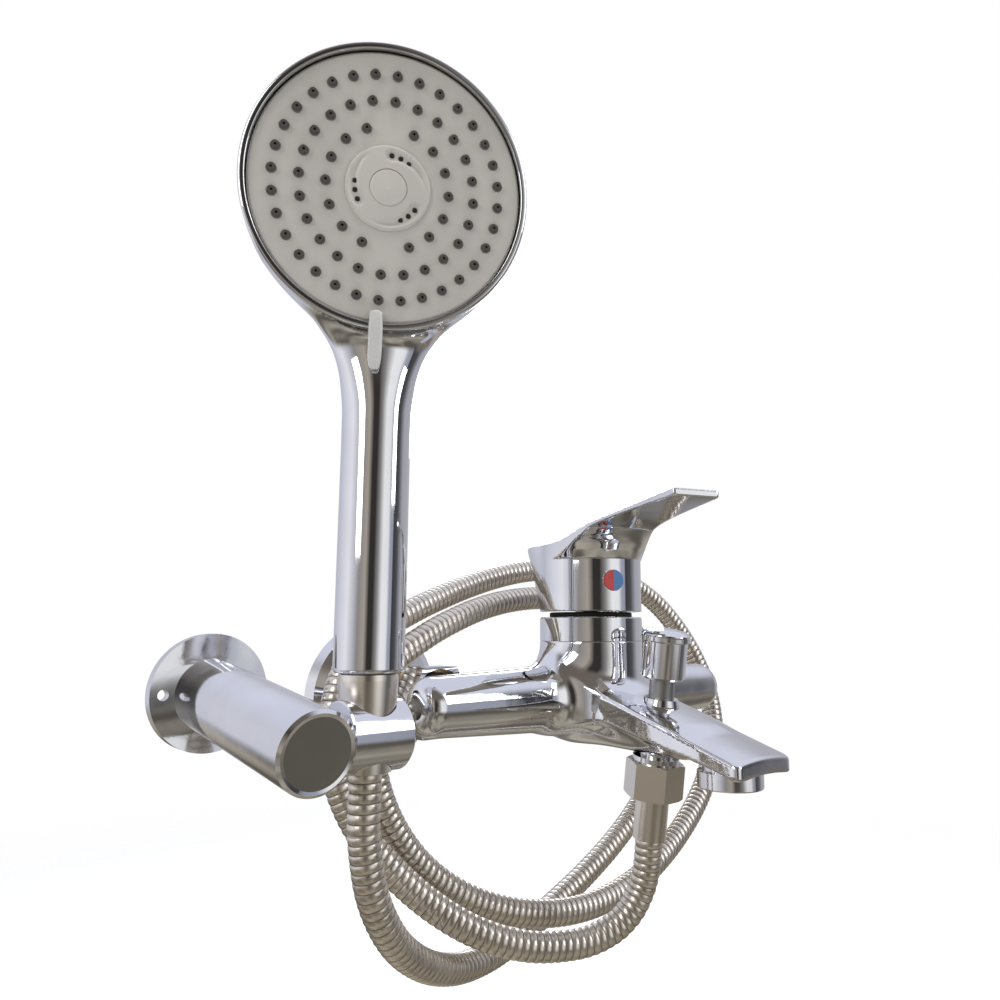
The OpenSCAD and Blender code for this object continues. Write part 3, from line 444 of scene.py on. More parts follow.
def ribbed_hose(name, curve, sizes, material):
    """A profile carried along a path: rings of radius R less the groove's depth times the square of the distance from
    each rib's middle, so every rib is a low crown between narrow seams."""
    total = curve_length(curve)
    ribs = max(3, round(total / (sizes.pitch / MM)))
    phase = np.array([0.0, 0.05, 0.14, 0.3, 0.5, 0.7, 0.86, 0.95])
    places = np.r_[(np.arange(ribs)[:, None] + phase[None, :]).ravel(), float(ribs)] * (total / ribs)
    depth = np.r_[np.tile((2 * phase - 1) ** 2, ribs), 1.0]
    # Painted shade per ring: full in each seam, about half on the rings beside it, passed to the finish as a point
    # attribute.
    shade = np.r_[np.tile(np.array([1.0, 0.55, 0.0, 0.0, 0.0, 0.0, 0.0, 0.55]), ribs), 0.3]
    # The end rings get less painted shade, so that the joins between stretches show no dark ring.
    shade[0], depth[0], depth[-1] = 0.3, 0.7, 0.7
    tone = np.random.default_rng(7).random(ribs)
    tone = np.r_[np.repeat(tone, len(phase)), tone[-1]]
    centres = points_along(curve, places)
    ways = np.gradient(points_along(curve, np.linspace(0, total, 4 * ribs)), axis=0)
    ways = np.stack([np.interp(places, np.linspace(0, total, 4 * ribs), ways[:, k]) for k in range(3)], axis=1)
    ways /= np.linalg.norm(ways, axis=1)[:, None]
    first = np.cross(ways, (0.0, 1.0, 0.0))
    first /= np.linalg.norm(first, axis=1)[:, None]
    second = np.cross(ways, first)
    sides = 20
    turn = np.arange(sides) * (2 * math.pi / sides)
    radius = sizes.radius / MM - sizes.groove / MM * depth
    rings = centres[:, None, :] + radius[:, None, None] * (
        np.cos(turn)[None, :, None] * first[:, None, :] + np.sin(turn)[None, :, None] * second[:, None, :])
    faces = tube_faces(len(places), sides)
    caps = [list(range(sides))[::-1], [(len(places) - 1) * sides + k for k in range(sides)]]
    piece = put_mesh(name, rings.reshape(-1, 3), [faces, caps], material, None, values={
        "seam": np.repeat(shade, sides), "rib": np.repeat(tone, sides)})
    return piece, [tuple(p) for p in (centres * MM).tolist()]


def tube_faces(rings, sides):
    """Quads between neighbouring rings, closed round each ring."""
    row = np.arange(rings - 1)[:, None] * sides
    k = np.arange(sides)[None, :]
    n = (np.arange(sides)[None, :] + 1) % sides
    return np.stack([row + k, row + n, row + sides + n, row + sides + k], axis=-1).reshape(-1, 4)


def low_of(a, b, k):
    """The lower of two distances, rounded off where they are within k of each other."""
    h = np.maximum(k - np.abs(a - b), 0.0) / k
    return np.minimum(a, b) - h * h * k * 0.25


def high_of(a, b, k):
    """The higher of two distances, rounded off where they are within k of each other."""
    return -low_of(-a, -b, k)


def cast_skin(distance, low, high, step):
    """The surface where a distance function is zero. Each grid edge that it crosses gives a tangent plane, each cell
    holds the point nearest to its edges' planes, so that ridges stay crisp, and each crossed edge joins four cells."""
    axes = [np.arange(a, b + step, step) for a, b in zip(low, high)]
    field = distance(*np.meshgrid(*axes, indexing="ij"))
    inside = field < 0
    shape = tuple(n - 1 for n in inside.shape)
    count = sum(
        inside[i:shape[0] + i, j:shape[1] + j, k:shape[2] + k].astype(np.int8)
        for i in (0, 1) for j in (0, 1) for k in (0, 1))
    cells = np.argwhere((count > 0) & (count < 8))
    index = np.full(shape, -1, np.int64)
    index[tuple(cells.T)] = np.arange(len(cells))
    square, reach = np.zeros((len(cells), 3, 3)), np.zeros((len(cells), 3))
    middle, hits = np.zeros((len(cells), 3)), np.zeros(len(cells))
    quads = []
    for axis in range(3):
        u, v = (axis + 1) % 3, (axis + 2) % 3
        along = np.eye(3, dtype=int)
        change = inside != np.roll(inside, -1, axis)
        change[tuple(slice(-1, None) if k == axis else slice(None) for k in range(3))] = False
        at = np.argwhere(change)
        at = at[(at[:, u] > 0) & (at[:, v] > 0) & (at[:, u] < shape[u]) & (at[:, v] < shape[v])]
        ring = np.stack([index[tuple((at - shift).T)]
                         for shift in (along[u] + along[v], along[v], 0 * along[u], along[u])], axis=1)
        start = np.array(low) + at * step
        near, far = np.zeros(len(at)), np.full(len(at), step)
        first = inside[tuple(at.T)]
        for _ in range(9):
            half = (near + far) / 2
            same = (distance(*(start + half[:, None] * along[axis]).T) < 0) == first
            near, far = np.where(same, half, near), np.where(same, far, half)
        cross = start + ((near + far) / 2)[:, None] * along[axis]
        slope = unit(slope_of(distance, cross))
        for k in range(4):
            np.add.at(square, ring[:, k], slope[:, :, None] * slope[:, None, :])
            np.add.at(reach, ring[:, k], slope * (slope * cross).sum(axis=1)[:, None])
            np.add.at(middle, ring[:, k], cross)
            np.add.at(hits, ring[:, k], 1.0)
        ring[~first] = ring[~first][:, ::-1]
        quads.append(ring)
    middle /= np.maximum(hits, 1.0)[:, None]
    pull = 0.04 * np.eye(3)
    points = np.linalg.solve(square + pull, (reach + 0.04 * middle)[:, :, None])[:, :, 0]
    corner = np.array(low) + cells * step
    points = np.clip(points, corner - 0.1 * step, corner + 1.1 * step)
    quads = np.vstack(quads)
    return points, quads, corner_normals(distance, points, quads)


def corner_normals(distance, points, quads):
    """Each face corner's normal: the slope at its point, or beside a ridge the slope a little way into the face."""
    spot = unit(slope_of(distance, points))[quads]
    corners = points[quads]
    flat = unit(np.cross(corners[:, 2] - corners[:, 0], corners[:, 3] - corners[:, 1]))
    inward = 0.45 * corners + 0.55 * corners.mean(axis=1)[:, None, :]
    beside = unit(slope_of(distance, inward.reshape(-1, 3))).reshape(corners.shape)
    ridge = (spot * flat[:, None, :]).sum(axis=2) < 0.93
    return np.where(ridge[:, :, None], beside, spot).reshape(-1, 3)


def unit(vectors):
    return vectors / np.maximum(np.linalg.norm(vectors, axis=1), 1e-9)[:, None]


def slope_of(distance, points, d=0.01):
    """The slope of a distance function at points, from differences on both sides."""
    x, y, z = points.T
    return np.stack([
        distance(x + d, y, z) - distance(x - d, y, z), distance(x, y + d, z) - distance(x, y - d, z),
        distance(x, y, z + d) - distance(x, y, z - d)], axis=1) / (2 * d)


def body_distance(x, y, z):
    """The mixer body: tapering arms, a round tower, and a wedge spout made of a wide top and a rounder belly, all
    blended. The cartridge's chamber and the diverter's bore are cut out."""
    sizes = bpy.context.scene.mixer_casting
    ahead = TOWER_Y - y
    side = np.abs(x)
    arm_r = (sizes.arm_root + (sizes.arm_end - sizes.arm_root) * np.clip((side - 15.0) / 80.0, 0, 1)) / MM
    arm = high_of(np.hypot(y - ARM_Y, z) - arm_r, side - ARM_TIP, 8.0)
    around = np.hypot(x, ahead)
    tower = high_of(high_of(around - sizes.tower / MM, z - TOWER_TOP, 0.8), -12.0 - z, 8.0)
    half = sizes.spout_width / MM / 2
    tip = sizes.spout / MM
    top = -1.5 - 17.0 * (ahead - 40.0) / 52.0 - 1.3 * (side / half) ** 2
    thick = 6.6 + 0.08 * np.clip(80.0 - ahead, 0, 70)
    wing = high_of(high_of(z - top, top - thick - z, 2.0), high_of(side - half, ahead - tip, 3.2), 1.7)
    wing = high_of(wing, -ahead, 4.0)
    belly = high_of(side - 14.5, high_of(-20.6 - 0.035 * ahead - z, ahead - 65.0, 9.0), 11.0)
    belly = high_of(high_of(belly, z - top, 4.0), -ahead - 8.0, 6.0)
    whole = low_of(low_of(arm, tower, 13.0), low_of(wing, belly, 7.0), 9.0)
    chamber = np.minimum(
        np.maximum(around - CHAMBER_R, CHAMBER_FLOOR - z), np.maximum(around - COLLAR_R, COLLAR_FLOOR - z))
    dy, dz = y - DIVERTER_FOOT[0], z - DIVERTER_FOOT[1]
    lean_y, lean_z = DIVERTER_LEAN
    up = lean_y * dy + lean_z * dz
    bore = np.sqrt(x ** 2 + (dy - lean_y * up) ** 2 + (dz - lean_z * up) ** 2) - DIVERTER_BORE
    return np.maximum(np.maximum(whole, -chamber), -bore)


def lever_distance(x, y, z):
    """The lever: a round housing that flares to the back, and a blade between a side outline seen from above and two
    height curves, its top and its underside. The cavity, the cap's seat and the room to lift are cut out."""
    sizes = bpy.context.scene.mixer_casting
    c, s = math.cos(-sizes.lever_turn), math.sin(-sizes.lever_turn)
    across = x * c - (y - TOWER_Y) * s
    ahead = -(x * s + (y - TOWER_Y) * c)
    up = z - LEVER_FOOT
    tip = sizes.blade / MM
    around = np.hypot(across, ahead)
    back = np.clip(-ahead / np.maximum(around, 1e-6) * 1.3, 0, 1)
    flare = 8.0 * np.clip(up / 30.0, 0, 1) * back * back * (3 - 2 * back)
    housing = high_of(high_of(around - sizes.tower / MM - flare, up - HOUSING_TOP, 1.2), -up, 0.6)
    front_cut = np.interp(ahead, [-40, 8, 16, 24.5], [40, 34, 30, 27.0])
    housing = high_of(housing, up - front_cut, 2.0)
    top = height_curve(ahead, LEVER_TOP)
    under = height_curve(np.where(ahead > 0, around, ahead), LEVER_UNDER)
    width = height_curve(ahead, LEVER_WIDTH)
    blade = high_of(
        high_of(np.abs(across) - width, ahead - tip, 1.4), high_of(up - top, under - up, 0.8), 0.9)
    blade = np.maximum(blade, -ahead - 2.0)
    whole = low_of(housing, blade, 1.6)
    cavity = np.maximum(around - CAVITY_R, up - CAVITY_TOP)
    seat = np.maximum(np.hypot(across, up - CAP_SEAT_UP) - CAP_SEAT_R, CAP_SEAT_AHEAD - ahead)
    lift = up * math.cos(UNDERCUT) + (ahead - UNDERCUT_AHEAD) * math.sin(UNDERCUT)
    return np.maximum(np.maximum(np.maximum(whole, -cavity), -seat), -lift)


def height_curve(at, rows):
    """A smooth curve through rows of place and height: cubics whose slope at a row is the harmonic mean of the slopes
    on its two sides, or zero at a peak, so that the curve never overshoots."""
    place, height = np.array(rows, float).T
    chord = np.diff(height) / np.diff(place)
    product = chord[:-1] * chord[1:]
    total = chord[:-1] + chord[1:]
    slope = np.r_[chord[0], np.where(product > 0, 2 * product / np.where(total == 0, 1, total), 0), chord[-1]]
    k = np.clip(np.searchsorted(place, at) - 1, 0, len(place) - 2)
    span = place[k + 1] - place[k]
    t = np.clip((at - place[k]) / span, 0, 1)
    return ((1 + 2 * t) * (1 - t) ** 2 * height[k] + t * t * (3 - 2 * t) * height[k + 1]
            + span * t * (1 - t) * ((1 - t) * slope[k] - t * slope[k + 1]))


def shower_places(x, y, z):
    """Places in the hand shower's own frame: across, ahead and up from its foot, then out of the face and up it."""
    sizes = bpy.context.scene.mixer_shower
    c, s = math.cos(-sizes.turn), math.sin(-sizes.turn)
    foot_x, foot_y, foot_z = SHOWER_FOOT
    across = (x - foot_x) * c - (y - foot_y) * s
    ahead = -((x - foot_x) * s + (y - foot_y) * c)
    up = z - foot_z
    ct, st = math.cos(sizes.tilt), math.sin(sizes.tilt)
    out = (ahead - FACE_AHEAD) * ct - (up - FACE_UP) * st
    rise = (ahead - FACE_AHEAD) * st + (up - FACE_UP) * ct
    return across, ahead, up, out, rise


def shell_distance(x, y, z):
    """The hand shower's shell: a domed head, a round handle and a leaning neck, blended. The head's front is hollow."""
    sizes = bpy.context.scene.mixer_shower
    across, ahead, up, out, rise = shower_places(x, y, z)
    head_r, grip = sizes.head / MM, sizes.grip / MM
    rho = np.hypot(across, rise)
    dome = np.sqrt((np.maximum(rho - 0.36 * head_r, 0) / (0.64 * head_r)) ** 2
                   + (np.minimum(out + 8.0, 0) / 18.0) ** 2) - 1.0
    head = high_of(18.0 * dome, out + 0.05, 1.6)
    wide, deep = height_curve(up, NECK_WIDTH) * grip / 13.0, height_curve(up, NECK_DEPTH) * grip / 13.0
    lean = ahead - height_curve(up, NECK_AHEAD)
    share = np.hypot(across / wide, lean / deep) + 1e-9
    handle = share * (share - 1.0) / np.maximum(np.hypot(across / wide ** 2, lean / deep ** 2), share / wide)
    handle = high_of(handle, high_of(-up, up - 148.0, 2.0), 1.6)
    whole = low_of(handle, head, 9.0)
    whole = np.maximum(whole, out + 2.6 - 0.9 * np.maximum(rho - head_r, 0))
    inner = head_r - sizes.lip / MM
    hollow = np.maximum(rho - inner, -10.0 - out)
    return high_of(whole, -hollow, 0.9)


def turned(profile, sides):
    """A closed profile of radius and height carried once round the Z axis. The profile runs outwards along its foot."""
    profile = np.array(profile, float)
    turn = np.arange(sides) * (2 * math.pi / sides)
    points = np.stack([np.outer(profile[:, 0], np.cos(turn)), np.outer(profile[:, 0], np.sin(turn)),
                       np.repeat(profile[:, 1:], sides, axis=1)], axis=-1).reshape(-1, 3)
    last = (len(profile) - 1) * sides
    k = np.arange(sides)
    shut = np.stack([last + k, last + (k + 1) % sides, (k + 1) % sides, k], axis=1)
    return points, [tube_faces(len(profile), sides), shut]


def rim_surface():
    """The bright ring round the face: a closed profile of radius and height, its corners rounded by quarter circles,
    turned once round the face's axis."""
    sizes = bpy.context.scene.mixer_shower
    outer, inner = sizes.head / MM, (sizes.head - sizes.lip) / MM
    bend = np.radians(np.linspace(0, 90, 7))
    profile = np.vstack([
        [(inner + 0.1, -3.2), (outer - 0.5, -3.2)],
        np.stack([outer - 0.5 + 0.5 * np.sin(bend), -2.7 - 0.5 * np.cos(bend)], axis=1),
        np.stack([outer - 1.2 + 1.2 * np.cos(bend), -1.2 + 1.2 * np.sin(bend)], axis=1),
        np.stack([inner + 0.5 - 0.5 * np.sin(bend), -0.5 + 0.5 * np.cos(bend)], axis=1),
        [(inner, -2.8)]])
    return turned(profile, 200)


def on_face(points):
    """Moves points from the face's frame (right, up, out) to the shared frame."""
    sizes = bpy.context.scene.mixer_shower
    right, rise, out = np.asarray(points, float).T
    ct, st = math.cos(sizes.tilt), math.sin(sizes.tilt)
    ahead = FACE_AHEAD + out * ct + rise * st
    up = FACE_UP - out * st + rise * ct
    c, s = math.cos(sizes.turn), math.sin(sizes.turn)
    foot_x, foot_y, foot_z = SHOWER_FOOT
    return np.stack([foot_x + right * c + ahead * s, foot_y + right * s - ahead * c, foot_z + up], axis=1)


def face_axis():
    """The direction out of the spray face."""
    return on_face([(0, 0, 1)])[0] - on_face([(0, 0, 0)])[0]


def insert_surface():
    """The spray insert: height over the face as a function of radius and angle, a low dome with three swirl recesses.
    Each recess starts round beside its first jet, runs clockwise and fades out towards the rim."""
    sides = 360
    angle = np.linspace(0, 2 * math.pi, sides, endpoint=False)
    radius = np.r_[BUTTON_R, np.linspace(7.1, 15.1, 34), 15.5, 15.8, 15.97, INSERT_R]
    r, a = np.meshgrid(radius, angle, indexing="ij")
    height = FACE_LEVEL + 1.25 - 0.18 * ((r - 7.0) / 9.0) ** 2
    for middle in SWIRLS:
        turn = (np.degrees(a) - middle + 180.0) % 360.0 - 180.0
        start = 1 / (1 + np.exp((np.hypot((turn - 18.0) * 0.2, r - 12.1) * (turn > 18.0) - 1.9) * 5.0))
        inner = 10.1 + np.clip(18.0 - turn, 0, 120) * 0.045
        band = 1 / (1 + np.exp((inner - r) * 4.0)) / (1 + np.exp((r - 14.2) * 5.0))
        fade = np.clip((turn + 78.0) / 40.0, 0, 1)
        height -= 0.9 * np.minimum(start, 1.0) * band * fade * fade * (3 - 2 * fade)
    height -= np.where(r > 15.2, ((r - 15.2) / 0.8) ** 2 * 0.9, 0)
    points = np.stack([r * np.cos(a), r * np.sin(a), height], axis=-1).reshape(-1, 3)
    inside, low = (
        np.stack([edge * np.cos(angle), edge * np.sin(angle), np.full(sides, INSERT_BACK)], axis=1)
        for edge in (BUTTON_R, INSERT_R))
    points = np.vstack([inside, points, low])
    rings = len(radius) + 2
    faces = tube_faces(rings, sides)
    k = np.arange(sides)
    n = (k + 1) % sides
    last = (rings - 1) * sides
    shut = np.stack([k, last + k, last + n, n], axis=1)
    return points, [faces[:, ::-1], shut[:, ::-1]]


def soft_block(middle, half, power, rings=28, sides=40):
    """A rounded block: an ellipsoid whose sines and cosines are raised to a power below one. Its poles are closed."""
    lat = np.linspace(-math.pi / 2, math.pi / 2, rings)[1:-1]
    lon = np.arange(sides) * (2 * math.pi / sides)
    lat, lon = np.meshgrid(lat, lon, indexing="ij")

    def raised(value):
        return np.sign(value) * np.abs(value) ** power

    points = np.stack([
        middle[0] + half[0] * raised(np.cos(lat)) * raised(np.cos(lon)),
        middle[1] + half[1] * raised(np.cos(lat)) * raised(np.sin(lon)),
        middle[2] + half[2] * raised(np.sin(lat))], axis=-1).reshape(-1, 3)
    points = np.vstack([points, np.array(middle) - (0, 0, half[2]), np.array(middle) + (0, 0, half[2])])
    n = rings - 2
    k = np.arange(sides)
    low = np.stack([np.full(sides, n * sides), (k + 1) % sides, k], axis=1)
    high = np.stack([np.full(sides, n * sides + 1), (n - 1) * sides + k, (n - 1) * sides + (k + 1) % sides], axis=1)
    return points, tube_faces(n, sides), np.vstack([low, high])


def jet_tips():
    """The nine jets of the insert: small rounded blocks, three in each swirl recess, 16 degrees apart."""
    points, faces = [], []
    for middle in SWIRLS:
        for step in (-JET_STEP, 0.0, JET_STEP):
            turn = math.radians(middle + step)
            place = (JET_RING * math.cos(turn), JET_RING * math.sin(turn), FACE_LEVEL + 0.3)
            tip, quads, fans = soft_block(place, (0.95, 0.95, 0.45), 0.8, 12, 24)
            faces += [quads + len(tip) * len(points), fans + len(tip) * len(points)]
            points.append(tip)
    return np.vstack(points), faces


class MIXER_OT_stage(Operator):
    """Camera, soft boxes, surroundings and the pale floor"""

    bl_idname = "mixer.stage"
    bl_label = "Stage"

    def execute(self, context):
        sizes = context.scene.mixer_stage
        view = bpy.data.cameras.new("view")
        view.lens = 28.8
        view.sensor_width = 36.0
        view.shift_x = -0.031
        view.clip_start = 0.01
        camera = bpy.data.objects.new("view", view)
        camera.location = CAMERA_PLACE
        camera.rotation_euler = [math.radians(angle) for angle in CAMERA_TURN]
        context.scene.collection.objects.link(camera)
        context.scene.camera = camera
        self.floor(context, sizes.floor)
        self.surroundings(context)
        for name, place, aim, size, power in (
            ("left_box", (-1.5, -0.35, 0.75), (-0.05, -0.08, 0.05), (0.5, 1.2), 7.0),
            ("right_box", (0.75, -1.35, 0.8), (-0.02, -0.08, 0.03), (0.4, 1.0), 5.0),
            ("top_box", (-0.1, -0.35, 1.5), (0.0, -0.08, 0.0), (1.2, 0.9), 28.0),
            ("back_box", (0.9, 0.9, 0.7), (0.0, 0.0, 0.05), (0.6, 0.6), 4.0),
        ):
            self.soft_box(context, name, place, aim, size, power * sizes.light)
        context.scene.view_settings.view_transform = "Standard"
        return {"FINISHED"}

    def soft_box(self, context, name, place, aim, size, power):
        light = bpy.data.lights.new(name, "AREA")
        light.shape = "RECTANGLE"
        light.size, light.size_y = size
        light.energy = power
        box = bpy.data.objects.new(name, light)
        way = np.array(place) - np.array(aim)
        box.visible_glossy = name != "top_box"
        box.location = place
        box.rotation_euler = (math.atan2(math.hypot(way[0], way[1]), way[2]), 0.0, math.atan2(way[0], -way[1]))
        context.scene.collection.objects.link(box)

    def floor(self, context, level):
        """A wide flat sheet that fades into the white behind it."""
        sides = 64
        turn = np.arange(sides) * (2 * math.pi / sides)
        radius = np.array([0.5, 2.0, 6.0, 12.0])
        points = np.stack([np.outer(radius, np.cos(turn)), np.outer(radius, np.sin(turn)),
                           np.full((len(radius), sides), level)], axis=-1).reshape(-1, 3)
        mesh = bpy.data.meshes.new("floor")
        faces = tube_faces(len(radius), sides)[:, ::-1].tolist() + [list(range(sides))]
        mesh.from_pydata(points.tolist(), [], faces)

        def build(w):
            away = w.node("ShaderNodeVectorMath", {0: w.place()}, out=1, operation="LENGTH")
            return {
                "Base Color": w.mix(w.noise(3.0), (0.86, 0.86, 0.865), (0.9, 0.9, 0.9)),
                "Roughness": 0.7 + 0.2 * w.noise(40.0),
                "Alpha": 1.0 - away.step(0.45, 1.5),
            }

        mesh.materials.append(finish_of("floor_paint", build))
        sheet = bpy.data.objects.new("floor", mesh)
        sheet.visible_glossy = False
        context.scene.collection.objects.link(sheet)

    def surroundings(self, context):
        """A room that plating can show: pale blue above, warm and dim below, and between them bright and dark panels
        that stand round the viewer. Angles run from the viewer's own direction, positive to the right."""
        world = bpy.data.worlds.new("room")
        context.scene.world = world
        world.use_nodes = True
        tree = world.node_tree
        w = Wire(tree)
        way = w.node("ShaderNodeTexCoord", out=0)
        up = w.along((0.0, 0.0, 1.0), way)
        turn = w.math("ARCTAN2", w.along(VIEWERS_RIGHT, way), w.along(TO_VIEWER, way))
        panels = w.node("ShaderNodeValToRGB", {0: turn * (0.5 / math.pi) + 0.5}, stops=[
            (angle / 360.0 + 0.5, shade) for angle, shade in (
                (-180, (0.52, 0.52, 0.57)), (-130, (0.60, 0.61, 0.70)), (-70, (0.95, 0.95, 1.0)),
                (-48, (0.62, 0.62, 0.66)), (-30, (0.30, 0.29, 0.28)), (-10, (0.46, 0.41, 0.35)),
                (3, (0.04, 0.036, 0.033)), (17, (0.04, 0.036, 0.033)), (30, (0.30, 0.29, 0.28)),
                (45, (1.0, 1.0, 1.0)), (62, (0.95, 0.95, 0.96)), (70, (0.40, 0.42, 0.50)),
                (79.6, (0.36, 0.37, 0.43)), (80.8, (0.05, 0.05, 0.055)),
                (98, (0.09, 0.09, 0.10)), (118, (0.44, 0.44, 0.48)), (180, (0.52, 0.52, 0.57)))])
        ground = w.mix(w.noise(1.8, 1.0, vector=way).step(0.3, 0.7), (0.12, 0.108, 0.09), (0.46, 0.42, 0.35))
        overhead = w.mix(w.along(FROM_VIEWER, way).step(-0.5, -0.1), (0.17, 0.145, 0.125), (0.76, 0.78, 0.90))
        shade = w.mix(up.step(0.30, 0.62), panels, overhead)
        shade = w.mix(1.0 - up.step(-0.34, -0.12), shade, ground)
        seen = w.node("ShaderNodeLightPath", out=0)
        shade = w.mix(seen, shade, (1.0, 1.0, 1.0))
        back = tree.nodes["Background"]
        tree.links.new(shade.socket, back.inputs["Color"])
        back.inputs["Strength"].default_value = 1.0


class MIXER_OT_hose(Operator):
    """Ribbed hose: the hanging loops, the stretch up to the holder and the stretch at the cone"""

    bl_idname = "mixer.hose"
    bl_label = "Hose"

    def execute(self, context):
        sizes = context.scene.mixer_hose
        steel = hose_finish(tuple(sizes.colour))
        whole = np.array(LOOP_ROUTE + RISER_ROUTE)
        steps = 14
        curve = smooth_curve(whole, steps)
        split = (len(LOOP_ROUTE) - 1) * steps
        end = (len(whole) - 2) * steps
        stretches = (
            ("hose_loops_skin", curve[:split + 1], "hose_loops"),
            ("hose_riser_skin", curve[split:end + 1], "hose_riser"),
            ("hose_top_skin", np.linspace(curve[end], (*SHOWER_FOOT[:2], CONE_LOW), 30), "hose_top"),
        )
        pieces = []
        for name, line, node in stretches:
            piece, path = ribbed_hose(name, line, sizes, steel)
            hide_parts(node)
            pieces.append((piece, path, curve_length(line) * MM))
        (loops, loops_path, loops_long), (riser, riser_path, riser_long), (top, top_path, _) = pieces
        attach(loops, "fixed")
        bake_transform(riser)
        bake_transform(top)
        return {"FINISHED"}


class MIXER_OT_body(Operator):
    """Mixer body casting, with a black ring of painted shade in the gap under the lever"""

    bl_idname = "mixer.body"
    bl_label = "Body"

    def execute(self, context):
        chrome = chrome_finish("body_plating", tuple(context.scene.mixer_finish.chrome), 0.24)
        points, quads, normals = cast_skin(body_distance, (-101.5, -168.5, -27.0), (101.5, -46.0, 27.5), 0.8)
        piece = put_mesh("body_casting", points, [quads], chrome, "fixed", ["mixer_body"], normals)
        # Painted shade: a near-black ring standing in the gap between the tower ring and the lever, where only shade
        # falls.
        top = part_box("tower_ring")[1][2] / MM
        points, faces = turned([
            (16.2, top + 0.02), (19.5, top + 0.02), (19.8, top + 0.4), (19.8, top + 1.9), (19.4, top + 2.3),
            (16.6, top + 2.3), (16.2, top + 1.9)], 96)
        gap_shade = put_mesh("gap_shade_ring", points + (0.0, TOWER_Y, 0.0), faces,
                        moulded_finish("gap_shade_black", (0.012, 0.012, 0.013), 0.6), "fixed", flat_angle=40.0)
        return {"FINISHED"}


class MIXER_OT_lever(Operator):
    """Lever casting"""

    bl_idname = "mixer.lever"
    bl_label = "Lever"

    def execute(self, context):
        chrome = chrome_finish("lever_plating", tuple(context.scene.mixer_finish.chrome), 0.08)
        points, quads, normals = cast_skin(lever_distance, (-64.0, -172.0, 38.5), (38.0, -38.0, 88.5), 0.6)
        piece = put_mesh("lever_casting", points, [quads], chrome, "lever", ["lever_handle"], normals)
        return {"FINISHED"}


class MIXER_OT_shower(Operator):
    """Hand shower shell"""

    bl_idname = "mixer.shower"
    bl_label = "Hand shower"

    def execute(self, context):
        chrome = chrome_finish("shower_plating", tuple(context.scene.mixer_finish.chrome), 0.07)
        low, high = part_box("shower_shell")
        low, high = np.array(low) / MM - 1.5, np.array(high) / MM + 1.5
        points, quads, normals = cast_skin(shell_distance, low, high, 0.85)
        piece = put_mesh("shower_casting", points, [quads], chrome, "handset", ["shower_shell"], normals)
        points, faces = rim_surface()
        rim = put_mesh("rim_ring", on_face(points), faces, chrome, "handset", ["shower_shell"], flat_angle=50.0)
        return {"FINISHED"}


class MIXER_OT_insert(Operator):
    """Spray insert with its three swirl recesses"""

    bl_idname = "mixer.insert"
    bl_label = "Spray insert"

    def execute(self, context):
        colour = tuple(context.scene.mixer_finish.face)
        points, faces = insert_surface()
        piece = put_mesh(
            "swirl_insert", on_face(points), faces, moulded_finish("insert_moulding", colour, 0.26), "face",
            ["spray_insert"], flat_angle=50.0)
        points, faces = jet_tips()
        tips = put_mesh(
            "jet_tips", on_face(points), faces, moulded_finish("jet_rubber", (0.012, 0.011, 0.01), 0.5), "face",
            ["insert_jets"])
        return {"FINISHED"}


class MIXER_OT_tab(Operator):
    """Selector tab over the lower rim"""

    bl_idname = "mixer.tab"
    bl_label = "Selector tab"

    def execute(self, context):
        head_r = context.scene.mixer_shower.head / MM
        inner = head_r - context.scene.mixer_shower.lip / MM
        low, high = -head_r - 15.0, -inner + 4.4
        bar, quads, fans = soft_block((TAB_SIDE, (low + high) / 2, 1.7), (2.6, (high - low) / 2, 1.3), 0.55)
        foot, foot_quads, foot_fans = soft_block((TAB_SIDE, -inner + 2.9, -0.49), (2.5, 1.5, 1.45), 0.4)
        n = len(bar)
        points = on_face(np.vstack([bar, foot]))
        piece = put_mesh(
            "tab_moulding", points, [quads, fans, foot_quads + n, foot_fans + n],
            moulded_finish("tab_plastic", (0.62, 0.62, 0.60), 0.22), "face", ["selector_tab"])
        return {"FINISHED"}


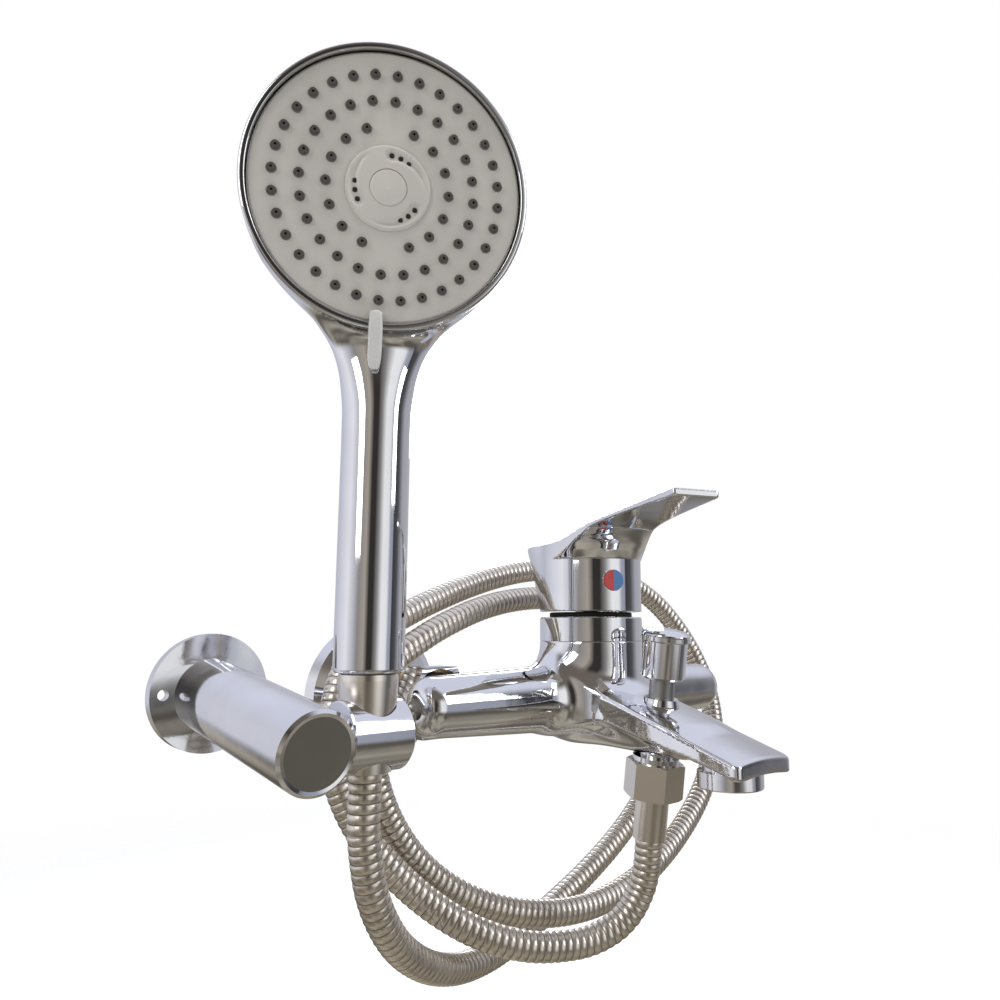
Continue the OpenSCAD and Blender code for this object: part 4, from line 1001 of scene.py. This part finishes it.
class MIXER_OT_finishes(Operator):
    """Finishes of the pieces that keep their built shape"""

    bl_idname = "mixer.finishes"
    bl_label = "Finishes"

    def execute(self, context):
        tints = context.scene.mixer_finish
        chrome, nickel, face = tuple(tints.chrome), tuple(tints.nickel), tuple(tints.face)
        trim = chrome_finish("trim_plating", chrome, 0.03)
        bracket = chrome_finish("bracket_plating", darker(chrome, 0.98), 0.22, 0.05)
        nut = satin_finish("fitting_nickel", nickel)
        rubber = moulded_finish("seal_rubber", (0.02, 0.02, 0.02), 0.6)
        steel = metal_finish("screw_steel", (0.45, 0.45, 0.46), 0.3)
        brass = metal_finish("union_brass", (0.62, 0.45, 0.2), 0.3)
        plastic = moulded_finish("cartridge_moulding", (0.72, 0.71, 0.68), 0.4)
        # Partly painted shade: real inner mouldings, given dark grey so that what shows of them through holes and gaps
        # reads as shade.
        inner = moulded_finish("inner_moulding_shade", (0.2, 0.2, 0.21), 0.45)
        way = face_axis()
        middle = on_face([(0, 0, FACE_LEVEL)])[0] * MM
        turn = context.scene.mixer_casting.lever_turn
        cold = (math.cos(turn), math.sin(turn), 0.0)
        looks = {
            trim: "union_nuts escutcheons tower_ring diverter_knob diverter_bush aerator_housing outlet_nipple",
            bracket: "bracket_plate bracket_arm arm_cap swivel_barrel",
            nut: "hose_nut hose_ferrule cone_nut",
            rubber: "filter_washers cartridge_seal diverter_seals aerator_seal hose_washer cone_washer plate_seal "
                    "friction_washer",
            steel: "lever_screw pivot_screw face_screw bracket_grub diverter_stem",
            brass: "left_union right_union retaining_nut",
            plastic: "cartridge_rotor cartridge_stem aerator_insert",
            # Painted shade: the inner mouldings, dark where they show through holes and gaps.
            inner: "shower_waterway distribution_plate cartridge_housing",
            metal_finish("disc_ceramic", (0.7, 0.69, 0.66), 0.15): "fixed_disc moving_disc",
            moulded_finish("face_moulding", face, 0.34): "face_plate",
            moulded_finish("button_moulding", darker(face, 1.04), 0.3): "centre_button",
            nozzle_finish(tuple(tints.nozzle), tuple(way), float(np.dot(way, middle))): "nozzles",
            indicator_finish(cold, cold[1] * TOWER_Y * MM): "indicator_cap",
        }
        for material, names in looks.items():
            for name in names.split():
                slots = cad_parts[name].material_slots
                for slot in slots:
                    slot.material = material
        return {"FINISHED"}


class MIXER_PT_panel(Panel):
    """Lists the mixer's makers"""

    bl_label = "Bath shower mixer"
    bl_idname = "MIXER_PT_panel"
    bl_space_type = "VIEW_3D"
    bl_region_type = "UI"
    bl_category = "Mixer"

    def draw(self, context):
        for maker in OPERATORS:
            self.layout.operator(maker.bl_idname)


GROUPS = {
    "mixer_stage": StageSizes,
    "mixer_hose": HoseSizes,
    "mixer_casting": CastingSizes,
    "mixer_shower": ShowerSizes,
    "mixer_finish": FinishColours,
}
OPERATORS = (
    MIXER_OT_stage, MIXER_OT_hose, MIXER_OT_body, MIXER_OT_lever, MIXER_OT_shower, MIXER_OT_insert, MIXER_OT_tab,
    MIXER_OT_finishes)


def register():
    for name, group in GROUPS.items():
        bpy.utils.register_class(group)
        setattr(bpy.types.Scene, name, PointerProperty(type=group))
    for maker in OPERATORS + (MIXER_PT_panel,):
        bpy.utils.register_class(maker)


def unregister():
    for maker in (MIXER_PT_panel,) + OPERATORS[::-1]:
        bpy.utils.unregister_class(maker)
    for name, group in GROUPS.items():
        delattr(bpy.types.Scene, name)
        bpy.utils.unregister_class(group)


def main():
    register()
    for maker in ("stage", "hose", "body", "lever", "shower", "insert", "tab", "finishes"):
        getattr(bpy.ops.mixer, maker)()


if __name__ == "__main__":
    main()
